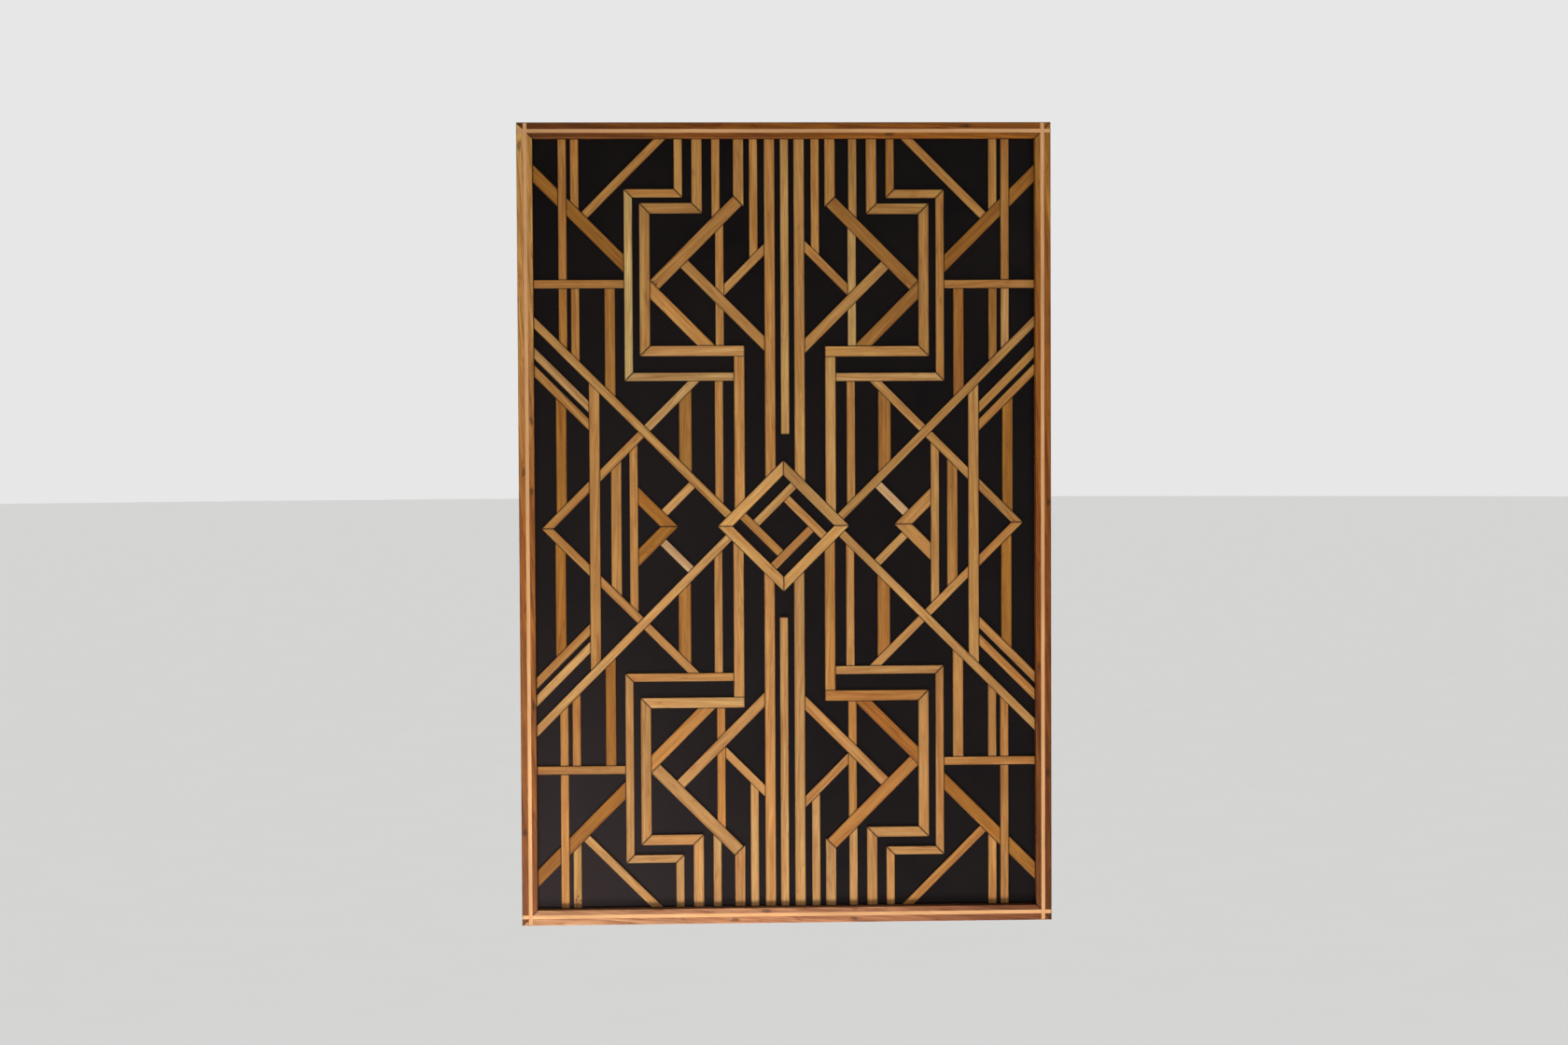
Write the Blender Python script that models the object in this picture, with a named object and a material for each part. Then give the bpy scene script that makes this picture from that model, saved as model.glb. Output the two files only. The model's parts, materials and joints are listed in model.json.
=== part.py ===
"""Decorative wall panel: a framed black board with a geometric lattice of glued wooden slats.

Metres, +Z up. The panel hangs on a wall: its back is the plane y = 0, its face looks along -Y,
and the origin is the middle of the board's back. Places inside the lattice are laid out from
the panel's middle: `out` runs sideways to the frame and `up` runs to the top or bottom of it.
"""

import math

import bmesh
import bpy
from mathutils import Vector

# Overall size and frame
PANEL_WIDTH = 0.600
PANEL_HEIGHT = 0.903
FRAME_FACE = 0.0175
FRAME_DEPTH = 0.025
BOARD_THICKNESS = 0.012
REBATE_WIDTH = 0.006
INLAY_WIDTH = 0.0042
INLAY_DEPTH = 0.003
INLAY_FROM_EDGE = 0.0096

# Slats: three stock widths of one thickness
SLAT_THICKNESS = 0.004
THIN_SLAT = 0.0092
MEDIUM_SLAT = 0.0116
WIDE_SLAT = 0.0140

# Fits: free clearance between pieces, and how far a glued end runs into its neighbour
CLEARANCE = 0.0003
GLUED_OVERLAP = 0.0005

# Uprights, by their distance from the middle
COLUMN_OUT = 0.0167
ARROW_POST_OUT = 0.0347
DROP_POST_OUT = 0.0515
STEM_OUT = 0.0745
FAN_POST_OUT = 0.0771
INNER_STEP_TOP_OUT = 0.0983
BRANCH_POST_OUT = 0.1125
OUTER_STEP_TOP_OUT = 0.1193
INNER_STEP_SIDE_OUT = 0.1573
LADDER_INNER_OUT = 0.1702
OUTER_STEP_SIDE_OUT = 0.1756
LADDER_OUTER_OUT = 0.1899
HANGER_OUT = 0.1966
RACK_POST_OUT = 0.2140
CORNER_INNER_OUT = 0.2354
CORNER_OUTER_OUT = 0.2492
RACK_STUB_OUT = 0.2520

# Level slats, by their height above or below the middle
OUTER_STEP_LOW_UP = 0.1677
INNER_STEP_LOW_UP = 0.1967
CROSSBAR_UP = 0.2721
INNER_STEP_HIGH_UP = {"top": 0.3570, "bottom": 0.3522}
OUTER_STEP_HIGH_UP = 0.3737

# Slats that climb outwards at 45 degrees, by out minus up
ARROW_BRACE_LEAN = -0.1786
WIDE_BRACE_LEAN = -0.1145
LONG_DIAGONAL_LEAN = 0.0525
RACK_INNER_LEAN = 0.0868
RACK_OUTER_LEAN = 0.1067
CHEVRON_LEAN = 0.1322

# Slats that fall outwards at 45 degrees, by out plus up
CHEVRON_ARM_REACH = 0.1511
SIDE_POINT_REACH = 0.2654
ARROW_HEAD_REACH = 0.3328
FAN_ARM_REACH = 0.4177
CORNER_TIE_REACH = 0.5741

# Free margins to the frame's opening, from the outermost post and from the highest level slat
CORNER_POST_MARGIN = 0.0333
STEP_MARGIN = 0.0603

# Middle: a mitred diamond round a pinwheel, and a strip above and below it
DIAMOND_CENTRE = (-0.0025, -0.0019)
DIAMOND_REACH = 0.0660
PINWHEEL_REACH = 0.0343
TOP_STRIP_X = -0.0002
TOP_STRIP_END = 0.1015
BOTTOM_STRIP_X = -0.0026
BOTTOM_STRIP_END = 0.1051

# The slats were set by hand: how far each quarter's layout sits outwards and up or down from true
HAND_SHIFT = {
    "top_left": (0.0003, -0.0007),
    "top_right": (-0.0004, -0.0018),
    "bottom_left": (0.0020, 0.0047),
    "bottom_right": (-0.0018, -0.0020),
}
# The arrow in each quarter was set by hand again, by this much more
ARROW_SHIFT = {
    "top_left": (-0.0013, 0.0018),
    "top_right": (0.0016, 0.0032),
    "bottom_left": (-0.0023, -0.0102),
    "bottom_right": (0.0020, 0.0050),
}
SIDES = {"left": -1, "right": 1}
LEVELS = {"top": 1, "bottom": -1}

# Worked out from the sizes above
HALF_WIDTH = PANEL_WIDTH / 2
HALF_HEIGHT = PANEL_HEIGHT / 2
OPENING_OUT = HALF_WIDTH - FRAME_FACE
OPENING_UP = HALF_HEIGHT - FRAME_FACE
SPREAD_OUT = OPENING_OUT / (CORNER_OUTER_OUT + CORNER_POST_MARGIN)
SPREAD_UP = OPENING_UP / (OUTER_STEP_HIGH_UP + STEP_MARGIN)
BOARD_FACE_Y = -BOARD_THICKNESS
SLAT_BACK_Y = BOARD_FACE_Y - CLEARANCE
SLAT_FACE_Y = SLAT_BACK_Y - SLAT_THICKNESS
FRAME_FACE_Y = -FRAME_DEPTH
DIAGONAL = math.sqrt(0.5)


class Line:
    """A straight slat's centre line in the XZ plane: its unit normal, distance and half width."""

    def __init__(self, normal, distance, width=0.0):
        self.normal = normal
        self.distance = distance
        self.half = width / 2


def laid_line(out_part, up_part, distance, width=0.0):
    """A line of the layout, spread as far as the layout has to be to fill the frame's opening."""
    normal = (out_part / SPREAD_OUT, up_part / SPREAD_UP)
    length = math.hypot(*normal)
    return Line((normal[0] / length, normal[1] / length), distance / length, width)


class Quarter:
    """One quarter of the lattice. Its lines are mirrored out from the middle, then shifted."""

    def __init__(self, level, side, more_shift=(0.0, 0.0)):
        self.name = f"{level}_{side}"
        self.level_name = level
        self.out = SIDES[side]
        self.up = LEVELS[level]
        out_shift, up_shift = HAND_SHIFT[self.name]
        self.shift = (out_shift + more_shift[0], up_shift + more_shift[1])

    def line(self, out_part, up_part, distance, width):
        shifted = distance + out_part * self.shift[0] + up_part * self.shift[1]
        return laid_line(out_part * self.out, up_part * self.up, shifted, width)

    def upright(self, out, width):
        return self.line(1, 0, out, width)

    def level(self, up, width):
        return self.line(0, 1, up, width)

    def climbing(self, lean, width):
        return self.line(DIAGONAL, -DIAGONAL, lean * DIAGONAL, width)

    def falling(self, reach, width):
        return self.line(DIAGONAL, DIAGONAL, reach * DIAGONAL, width)


def beyond(line):
    """Saw cut against a neighbour's edge: keeps what lies farther along its normal."""
    return line, 1


def before(line):
    """Saw cut against a neighbour's edge: keeps what lies nearer than it."""
    return line, -1


def material(name, colour, roughness):
    made = bpy.data.materials.new(name)
    made.use_nodes = True
    shader = made.node_tree.nodes["Principled BSDF"]
    shader.inputs["Base Color"].default_value = (*colour, 1.0)
    shader.inputs["Roughness"].default_value = roughness
    return made


def clear_scene():
    for old in list(bpy.data.objects):
        bpy.data.objects.remove(old, do_unlink=True)


def new_collection(name, hidden):
    made = bpy.data.collections.new(name)
    bpy.context.scene.collection.children.link(made)
    made.hide_render = hidden
    return made


def add_object(name, bm, collection, surface=None):
    """Makes an object of a finished bmesh; one with no material is a cutter or a guide."""
    bmesh.ops.recalc_face_normals(bm, faces=bm.faces[:])
    mesh = bpy.data.meshes.new(name)
    bm.to_mesh(mesh)
    bm.free()
    made = bpy.data.objects.new(name, mesh)
    collection.objects.link(made)
    if surface:
        mesh.materials.append(surface)
    else:
        made.hide_render = True
        made.display_type = "WIRE"
    return made


def box_mesh(low, high):
    bm = bmesh.new()
    bmesh.ops.create_cube(bm, size=1.0)
    low, high = Vector(low), Vector(high)
    for vert in bm.verts:
        vert.co = (low + high) / 2 + vert.co * (high - low)
    return bm


def saw(bm, normal, distance, keep_side):
    """Cuts a convex bar along an upright plane through the panel and closes the sawn end."""
    plane_normal = Vector((normal[0], 0, normal[1]))
    bmesh.ops.bisect_plane(
        bm,
        geom=bm.verts[:] + bm.edges[:] + bm.faces[:],
        plane_co=plane_normal * distance,
        plane_no=plane_normal * -keep_side,
        clear_outer=True,
    )
    rim = [edge for edge in bm.edges if edge.is_boundary]
    if rim:
        bmesh.ops.holes_fill(bm, edges=rim)


def bar_mesh(line, back_y, face_y):
    """A bar along the line, longer than the panel, to be sawn to length."""
    reach = PANEL_WIDTH + PANEL_HEIGHT
    bm = box_mesh((-line.half, face_y, -reach), (line.half, back_y, reach))
    across = Vector((line.normal[0], 0, line.normal[1]))
    along = Vector((-line.normal[1], 0, line.normal[0]))
    for vert in bm.verts:
        place = across * (line.distance + vert.co.x) + along * vert.co.z
        vert.co = (place.x, vert.co.y, place.z)
    return bm


def fuse(name, pieces, collection, surface):
    """Unions glued bars, which overlap at their joints, into the one solid of a node."""
    body = pieces[0]
    others = bpy.data.collections.new(name + "_bars")
    for piece in pieces[1:]:
        others.objects.link(piece)
    if len(pieces) > 1:
        union = body.modifiers.new("glued joints", "BOOLEAN")
        union.operation = "UNION"
        union.operand_type = "COLLECTION"
        union.collection = others
    bpy.context.view_layer.update()
    graph = bpy.context.evaluated_depsgraph_get()
    mesh = bpy.data.meshes.new_from_object(body.evaluated_get(graph))
    mesh.name = name
    for piece in pieces:
        bpy.data.objects.remove(piece, do_unlink=True)
    bpy.data.collections.remove(others)
    made = bpy.data.objects.new(name, mesh)
    mesh.materials.clear()
    mesh.materials.append(surface)
    collection.objects.link(made)


class Lattice:
    """Collects slats by group, saws each against its neighbours and fuses what is glued."""

    def __init__(self, collection, surface):
        self.collection = collection
        self.surface = surface
        self.groups = {}
        self.joints = {}

    def joint(self, group, line):
        """Adds a glued joint that follows this line, not a neighbour's edge."""
        self.joints.setdefault(group, []).append(line)

    def slat(self, group, line, *cuts, corners=()):
        """Adds a slat. A corner is a cut where both slats keep the full square they share."""
        self.groups.setdefault(group, []).append((line, cuts, corners))

    def sawn(self, group, line, cuts, corners):
        glued = [member[0] for member in self.groups[group]] + self.joints.get(group, [])
        bm = bar_mesh(line, SLAT_BACK_Y, SLAT_FACE_Y)
        for neighbour, keep_side in cuts:
            room = -GLUED_OVERLAP if neighbour in glued else CLEARANCE
            edge = neighbour.distance + keep_side * (neighbour.half + room)
            saw(bm, neighbour.normal, edge, keep_side)
        for neighbour, keep_side in corners:
            edge = neighbour.distance - keep_side * neighbour.half
            saw(bm, neighbour.normal, edge, keep_side)
        return add_object(group + "_bar", bm, self.collection, self.surface)

    def build(self):
        for group, members in self.groups.items():
            bars = [self.sawn(group, *member) for member in members]
            fuse(group, bars, self.collection, self.surface)


def frame_edges():
    """The four inner edges of the frame's opening, keyed by the side or level they close."""
    edges = {}
    for side, sign in SIDES.items():
        edges[side] = Line((sign, 0), OPENING_OUT)
    for level, sign in LEVELS.items():
        edges[level] = Line((0, sign), OPENING_UP)
    return edges


def diamond_lines(reach, width):
    """Four lines of a square standing on its corner, clockwise from the upper left one."""
    lines = {}
    for level, side in (("top", "left"), ("top", "right"), ("bottom", "right"), ("bottom", "left")):
        out_part, up_part = SIDES[side] * DIAGONAL, LEVELS[level] * DIAGONAL
        centre = out_part * DIAMOND_CENTRE[0] + up_part * DIAMOND_CENTRE[1]
        lines[f"{level}_{side}"] = laid_line(out_part, up_part, reach * DIAGONAL + centre, width)
    return lines


def add_middle(lattice, frame, diamond):
    """The mitred diamond, the pinwheel inside it and the two plain strips."""
    names = list(diamond)
    pinwheel = diamond_lines(PINWHEEL_REACH, THIN_SLAT)
    for turn, name in enumerate(names):
        following = names[(turn + 1) % len(names)]
        previous = names[turn - 1]
        ends = (before(diamond[following]), before(diamond[previous]))
        lattice.slat("centre_diamond", diamond[name], corners=ends)
        lattice.slat(
            "centre_pinwheel", pinwheel[name], before(diamond[following]), before(pinwheel[previous])
        )
    strips = {"top": (TOP_STRIP_X, TOP_STRIP_END), "bottom": (BOTTOM_STRIP_X, BOTTOM_STRIP_END)}
    for level, (x, end) in strips.items():
        free_end = laid_line(0, LEVELS[level], end)
        strip = laid_line(1, 0, x, THIN_SLAT)
        lattice.slat(f"centre_strip_{level}", strip, before(frame[level]), beyond(free_end))


def add_corner(lattice, quarter, side_frame, level_frame, step_side, crossbar):
    """Posts, wide brace and tie in the panel's corner."""
    group = quarter.name + "_corner"
    outer = quarter.upright(CORNER_OUTER_OUT, THIN_SLAT)
    inner = quarter.upright(CORNER_INNER_OUT, THIN_SLAT)
    brace = quarter.climbing(WIDE_BRACE_LEAN, WIDE_SLAT)
    tie = quarter.falling(CORNER_TIE_REACH, THIN_SLAT)
    lattice.slat(group, outer, before(level_frame), beyond(crossbar))
    lattice.slat(group, inner, before(level_frame), before(brace))
    lattice.slat(group, brace, before(side_frame), beyond(outer))
    lattice.slat(group, brace, before(outer), beyond(step_side))
    lattice.slat(group, tie, before(level_frame), before(brace))


def add_crossbar(lattice, quarter, side_frame, step_side, crossbar, long_diagonal):
    """The level bar from the frame to the outer step, with the posts that hang from it."""
    group = quarter.name + "_crossbar"
    lattice.slat(group, crossbar, before(side_frame), beyond(step_side))
    for out, width in (
        (CORNER_OUTER_OUT, THIN_SLAT),
        (CORNER_INNER_OUT, THIN_SLAT),
        (HANGER_OUT, MEDIUM_SLAT),
    ):
        post = quarter.upright(out, width)
        lattice.slat(group, post, before(crossbar), before(long_diagonal))


def add_step(lattice, group, level_frame, top, high, side):
    """The part of a step that both steps share: top post, high bar and side post."""
    lattice.slat(group, top, before(level_frame), corners=(beyond(high),))
    lattice.slat(group, high, corners=(beyond(top), before(side)))


def add_steps(lattice, quarter, level_frame, lines):
    """The outer and inner steps, with the stem and the drop post that end on them."""
    outer = quarter.name + "_outer_step"
    inner = quarter.name + "_inner_step"
    outer_top = quarter.upright(OUTER_STEP_TOP_OUT, THIN_SLAT)
    outer_high = quarter.level(OUTER_STEP_HIGH_UP, THIN_SLAT)
    inner_top = quarter.upright(INNER_STEP_TOP_OUT, MEDIUM_SLAT)
    inner_high = quarter.level(INNER_STEP_HIGH_UP[quarter.level_name], MEDIUM_SLAT)
    outer_side, outer_low = lines["outer_side"], lines["outer_low"]
    inner_side, inner_low = lines["inner_side"], lines["inner_low"]
    drop, stem = lines["drop"], lines["stem"]
    add_step(lattice, outer, level_frame, outer_top, outer_high, outer_side)
    lattice.slat(outer, outer_side, corners=(before(outer_high), beyond(outer_low)))
    lattice.slat(outer, outer_low, beyond(drop), corners=(before(outer_side),))
    lattice.slat(outer, stem, before(outer_low), before(lines["long_diagonal"]))
    add_step(lattice, inner, level_frame, inner_top, inner_high, inner_side)
    lattice.slat(inner, inner_side, corners=(before(inner_high), beyond(inner_low)))
    lattice.slat(inner, inner_low, corners=(before(inner_side), beyond(drop)))
    lattice.slat(inner, drop, before(inner_low), beyond(lines["diamond"]))


def add_fan(lattice, quarter, level_frame, lines):
    """The wide arm with the two posts that end on it, and the wide brace glued in the inner step."""
    group = quarter.name + "_fan"
    arm, brace = lines["fan_arm"], lines["fan_brace"]
    fan_post = quarter.upright(FAN_POST_OUT, THIN_SLAT)
    drop = lines["drop"]
    end_out = DROP_POST_OUT + drop.half
    end_up = FAN_ARM_REACH + arm.half / DIAGONAL - end_out
    arm_end = quarter.climbing(end_out - end_up, 0.0)
    lattice.joint(group, arm_end)
    lattice.slat(group, arm, beyond(arm_end), before(brace), before(lines["inner_side"]))
    brace_foot = (beyond(lines["inner_low"]), beyond(lines["arrow_stem"]))
    lattice.slat(quarter.name + "_inner_step", brace, before(lines["inner_side"]), *brace_foot)
    lattice.slat(group, fan_post, before(level_frame), beyond(arm))
    lattice.slat(group, drop, before(level_frame), before(arm_end))


def add_arrow(lattice, quarter, level_frame, lines):
    """The brace under the fan, its arrow head, and the posts that meet them."""
    group = quarter.name + "_arrow"
    column, stem = lines["column"], lines["arrow_stem"]
    brace, head = lines["arrow_brace"], lines["arrow_head"]
    post = quarter.upright(ARROW_POST_OUT, THIN_SLAT)
    lattice.slat(group, brace, before(lines["fan_arm"]), beyond(column))
    lattice.slat(group, head, beyond(column), before(stem), before(brace))
    lattice.slat(group, post, before(level_frame), beyond(head))
    lattice.slat(group, stem, before(lines["fan_arm"]), before(brace))
    lattice.slat(group, stem, beyond(brace), beyond(lines["inner_low"]))


def quarter_lines(quarter, arrow, diamond):
    """The lines of the arrow, and those that more than one group of the quarter meets."""
    return {
        "arrow_stem": arrow.upright(STEM_OUT, THIN_SLAT),
        "arrow_brace": arrow.climbing(ARROW_BRACE_LEAN, MEDIUM_SLAT),
        "arrow_head": arrow.falling(ARROW_HEAD_REACH, THIN_SLAT),
        "column": quarter.upright(COLUMN_OUT, MEDIUM_SLAT),
        "drop": quarter.upright(DROP_POST_OUT, MEDIUM_SLAT),
        "stem": quarter.upright(STEM_OUT, THIN_SLAT),
        "inner_side": quarter.upright(INNER_STEP_SIDE_OUT, MEDIUM_SLAT),
        "outer_side": quarter.upright(OUTER_STEP_SIDE_OUT, THIN_SLAT),
        "inner_low": quarter.level(INNER_STEP_LOW_UP, MEDIUM_SLAT),
        "outer_low": quarter.level(OUTER_STEP_LOW_UP, THIN_SLAT),
        "fan_arm": quarter.falling(FAN_ARM_REACH, WIDE_SLAT),
        "fan_brace": quarter.climbing(WIDE_BRACE_LEAN, WIDE_SLAT),
        "long_diagonal": quarter.climbing(LONG_DIAGONAL_LEAN, THIN_SLAT),
        "side_point": quarter.falling(SIDE_POINT_REACH, THIN_SLAT),
        "diamond": diamond[quarter.name],
    }


def add_quarter(lattice, quarter, side_frame, level_frame, lines):
    crossbar = quarter.level(CROSSBAR_UP, THIN_SLAT)
    long_diagonal, diamond = lines["long_diagonal"], lines["diamond"]
    add_corner(lattice, quarter, side_frame, level_frame, lines["outer_side"], crossbar)
    add_crossbar(lattice, quarter, side_frame, lines["outer_side"], crossbar, long_diagonal)
    add_steps(lattice, quarter, level_frame, lines)
    add_fan(lattice, quarter, level_frame, lines)
    add_arrow(lattice, quarter, level_frame, lines)
    column = lines["column"]
    lattice.slat(quarter.name + "_column", column, before(level_frame), beyond(diamond))
    diagonal_name = quarter.name + "_long_diagonal"
    lattice.slat(diagonal_name, long_diagonal, before(side_frame), beyond(diamond))
    branch = quarter.name + "_branch"
    post = quarter.upright(BRANCH_POST_OUT, WIDE_SLAT)
    side_point = lines["side_point"]
    lattice.slat(branch, side_point, before(lines["outer_low"]), before(long_diagonal))
    lattice.slat(branch, post, before(side_point), before(long_diagonal))


def side_upright(side, out, width):
    """An upright that crosses the panel's middle: it takes the mean shift of its two quarters."""
    shifts = [HAND_SHIFT[f"{level}_{side}"][0] for level in LEVELS]
    return laid_line(SIDES[side], 0, out + sum(shifts) / len(shifts), width)


def add_side(lattice, side, quarters, side_frame, lines):
    """The point, rack, ladder and chevron that span the middle of one side."""
    rack_post = side_upright(side, RACK_POST_OUT, MEDIUM_SLAT)
    ladder_inner = side_upright(side, LADDER_INNER_OUT, THIN_SLAT)
    ladder_outer = side_upright(side, LADDER_OUTER_OUT, MEDIUM_SLAT)
    diagonals = [lines[level]["long_diagonal"] for level in LEVELS]
    points = [lines[level]["side_point"] for level in LEVELS]
    chevrons = [quarters[level].climbing(CHEVRON_LEAN, WIDE_SLAT) for level in LEVELS]
    rack = side + "_rack"
    lattice.slat(rack, rack_post, *[beyond(diagonal) for diagonal in diagonals])
    ladder = side + "_ladder"
    for post in (ladder_inner, ladder_outer):
        lattice.slat(ladder, post, *[before(point) for point in points])
    for index, level in enumerate(LEVELS):
        quarter = quarters[level]
        point, far_point = points[index], points[1 - index]
        chevron, far_chevron = chevrons[index], chevrons[1 - index]
        inner_rack = quarter.climbing(RACK_INNER_LEAN, THIN_SLAT)
        outer_rack = quarter.climbing(RACK_OUTER_LEAN, THIN_SLAT)
        stub = quarter.upright(RACK_STUB_OUT, MEDIUM_SLAT)
        arm = quarter.falling(CHEVRON_ARM_REACH, THIN_SLAT)
        for bar in (inner_rack, outer_rack):
            lattice.slat(rack, bar, before(side_frame), beyond(rack_post))
        lattice.slat(rack, stub, beyond(outer_rack), beyond(point))
        lattice.slat(ladder, point, beyond(diagonals[index]), before(rack_post))
        lattice.slat(side + "_point", point, beyond(rack_post), corners=(before(far_point),))
        chevron_name = side + "_chevron"
        lattice.slat(chevron_name, chevron, before(ladder_inner), corners=(beyond(far_chevron),))
        lattice.slat(chevron_name, arm, beyond(diagonals[index]), before(chevron))


def add_lattice(collection, surface):
    lattice = Lattice(collection, surface)
    frame = frame_edges()
    diamond = diamond_lines(DIAMOND_REACH, MEDIUM_SLAT)
    add_middle(lattice, frame, diamond)
    for side in SIDES:
        quarters = {level: Quarter(level, side) for level in LEVELS}
        lines = {}
        for level, quarter in quarters.items():
            arrow = Quarter(level, side, ARROW_SHIFT[quarter.name])
            lines[level] = quarter_lines(quarter, arrow, diamond)
        for level in LEVELS:
            add_quarter(lattice, quarters[level], frame[side], frame[level], lines[level])
        add_side(lattice, side, quarters, frame[side], lines)
    lattice.build()


def add_board(collection, surface):
    """The lacquered board, let into a rebate behind the frame's lip."""
    edge = REBATE_WIDTH - CLEARANCE
    high = (OPENING_OUT + edge, 0.0, OPENING_UP + edge)
    low = (-high[0], BOARD_FACE_Y, -high[2])
    add_object("back_board", box_mesh(low, high), collection, surface)


def inlay_box(side_or_level, grow):
    """Low and high corners of one inlay strip, grown sideways and down by its groove's room."""
    half = INLAY_WIDTH / 2 + grow
    bottom = FRAME_FACE_Y + INLAY_DEPTH + grow
    if side_or_level in SIDES:
        middle = SIDES[side_or_level] * (HALF_WIDTH - INLAY_FROM_EDGE)
        return (middle - half, FRAME_FACE_Y, -HALF_HEIGHT), (middle + half, bottom, HALF_HEIGHT)
    middle = LEVELS[side_or_level] * (HALF_HEIGHT - INLAY_FROM_EDGE)
    return (-HALF_WIDTH, FRAME_FACE_Y, middle - half), (HALF_WIDTH, bottom, middle + half)


def stretched(corners, distance):
    """The same box drawn out past the panel's edges and face, so that it cuts right through."""
    low, high = corners
    lengthwise = 0 if high[0] - low[0] > high[2] - low[2] else 2
    low, high = list(low), list(high)
    low[lengthwise] -= distance
    high[lengthwise] += distance
    low[1] -= distance
    return low, high


def cut(piece, cutters):
    """Takes every cutter of a collection out of the piece."""
    difference = piece.modifiers.new("cut", "BOOLEAN")
    difference.operation = "DIFFERENCE"
    difference.operand_type = "COLLECTION"
    difference.collection = cutters


def mitre_line(out, up):
    """The line that runs in from one of the panel's corners at 45 degrees."""
    return Line((-out * DIAGONAL, up * DIAGONAL), (HALF_HEIGHT - HALF_WIDTH) * DIAGONAL)


def add_rail(name, line, mitres, keep_side, collection, cutters, surface):
    bm = bar_mesh(line, 0.0, FRAME_FACE_Y)
    for mitre in mitres:
        saw(bm, mitre.normal, mitre.distance + keep_side * CLEARANCE / 2, keep_side)
    rail = add_object("frame_rail_" + name, bm, collection, surface)
    cut(rail, cutters)


def add_rails(collection, cutters, surface):
    """Four mitred rails with a rebate for the board and grooves for the inlay strips."""
    high = (OPENING_OUT + REBATE_WIDTH, BOARD_THICKNESS, OPENING_UP + REBATE_WIDTH)
    low = (-high[0], SLAT_BACK_Y, -high[2])
    add_object("board_space", box_mesh(low, high), cutters)
    for name in (*SIDES, *LEVELS):
        corners = stretched(inlay_box(name, CLEARANCE), FRAME_FACE)
        add_object("groove_" + name, box_mesh(*corners), cutters)
    for side, out in SIDES.items():
        line = Line((out, 0), HALF_WIDTH - FRAME_FACE / 2, FRAME_FACE)
        mitres = [mitre_line(out, up) for up in LEVELS.values()]
        add_rail(side, line, mitres, -1, collection, cutters, surface)
    for level, up in LEVELS.items():
        line = Line((0, up), HALF_HEIGHT - FRAME_FACE / 2, FRAME_FACE)
        mitres = [mitre_line(out, up) for out in SIDES.values()]
        add_rail(level, line, mitres, 1, collection, cutters, surface)


def add_inlays(collection, front_cutters, back_cutters, surface):
    """Pale strips let into the frame, half lapped where they cross near each corner."""
    room = CLEARANCE / 2
    lap = FRAME_FACE_Y + INLAY_DEPTH / 2
    outside = FRAME_FACE_Y - INLAY_DEPTH
    inside = FRAME_FACE_Y + 2 * INLAY_DEPTH
    for side in SIDES:
        (low_x, _, _), (high_x, _, _) = inlay_box(side, CLEARANCE)
        for level in LEVELS:
            (_, _, low_z), (_, _, high_z) = inlay_box(level, CLEARANCE)
            front_box = box_mesh((low_x, outside, low_z), (high_x, lap + room, high_z))
            back_box = box_mesh((low_x, lap - room, low_z), (high_x, inside, high_z))
            add_object(f"lap_front_{level}_{side}", front_box, front_cutters)
            add_object(f"lap_back_{level}_{side}", back_box, back_cutters)
    for names, lap_cutters in ((SIDES, front_cutters), (LEVELS, back_cutters)):
        for name in names:
            strip_box = box_mesh(*inlay_box(name, 0.0))
            cut(add_object("frame_inlay_" + name, strip_box, collection, surface), lap_cutters)


def main():
    clear_scene()
    panel = new_collection("decorative_wall_panel", False)
    frame_cutters = new_collection("frame_cutters", True)
    front_cutters = new_collection("lap_front_cutters", True)
    back_cutters = new_collection("lap_back_cutters", True)
    frame_wood = material("frame_wood", (0.28, 0.12, 0.04), 0.45)
    inlay_wood = material("inlay_wood", (0.72, 0.45, 0.22), 0.45)
    slat_wood = material("slat_wood", (0.50, 0.27, 0.11), 0.5)
    black_lacquer = material("black_lacquer", (0.012, 0.011, 0.013), 0.3)
    add_board(panel, black_lacquer)
    add_rails(panel, frame_cutters, frame_wood)
    add_inlays(panel, front_cutters, back_cutters, inlay_wood)
    add_lattice(panel, slat_wood)


main()
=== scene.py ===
import json
import math
import random
from collections import namedtuple

import bmesh
import bpy
import numpy as np
from mathutils import Matrix, Vector

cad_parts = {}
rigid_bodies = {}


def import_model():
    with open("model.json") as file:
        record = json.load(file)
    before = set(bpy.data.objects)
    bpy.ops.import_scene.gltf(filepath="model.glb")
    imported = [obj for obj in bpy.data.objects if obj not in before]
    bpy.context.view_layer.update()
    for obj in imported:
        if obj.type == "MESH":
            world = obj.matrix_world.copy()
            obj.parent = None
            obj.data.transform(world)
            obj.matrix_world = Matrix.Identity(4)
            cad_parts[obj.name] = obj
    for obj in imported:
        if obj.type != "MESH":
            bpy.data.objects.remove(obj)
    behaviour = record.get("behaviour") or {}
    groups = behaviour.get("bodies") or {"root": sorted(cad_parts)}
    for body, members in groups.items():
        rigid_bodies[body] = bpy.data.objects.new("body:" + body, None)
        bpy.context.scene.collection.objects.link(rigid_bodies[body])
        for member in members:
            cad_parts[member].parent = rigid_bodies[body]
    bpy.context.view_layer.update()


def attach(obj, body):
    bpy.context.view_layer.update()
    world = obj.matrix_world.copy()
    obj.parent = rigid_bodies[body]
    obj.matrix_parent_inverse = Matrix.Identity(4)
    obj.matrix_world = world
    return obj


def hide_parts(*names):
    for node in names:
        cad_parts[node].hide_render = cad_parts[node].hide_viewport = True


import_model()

# The panel's own sizes, in metres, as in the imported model
HALF_WIDTH = 0.300
HALF_HEIGHT = 0.4515
FRAME_FACE = 0.0175
FRAME_FACE_Y = -0.025
BOARD_FACE_Y = -0.012
REBATE_WIDTH = 0.006
INLAY_WIDTH = 0.0042
INLAY_DEPTH = 0.003
INLAY_FROM_EDGE = 0.0096
SLAT_BACK_Y = -0.01205
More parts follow.
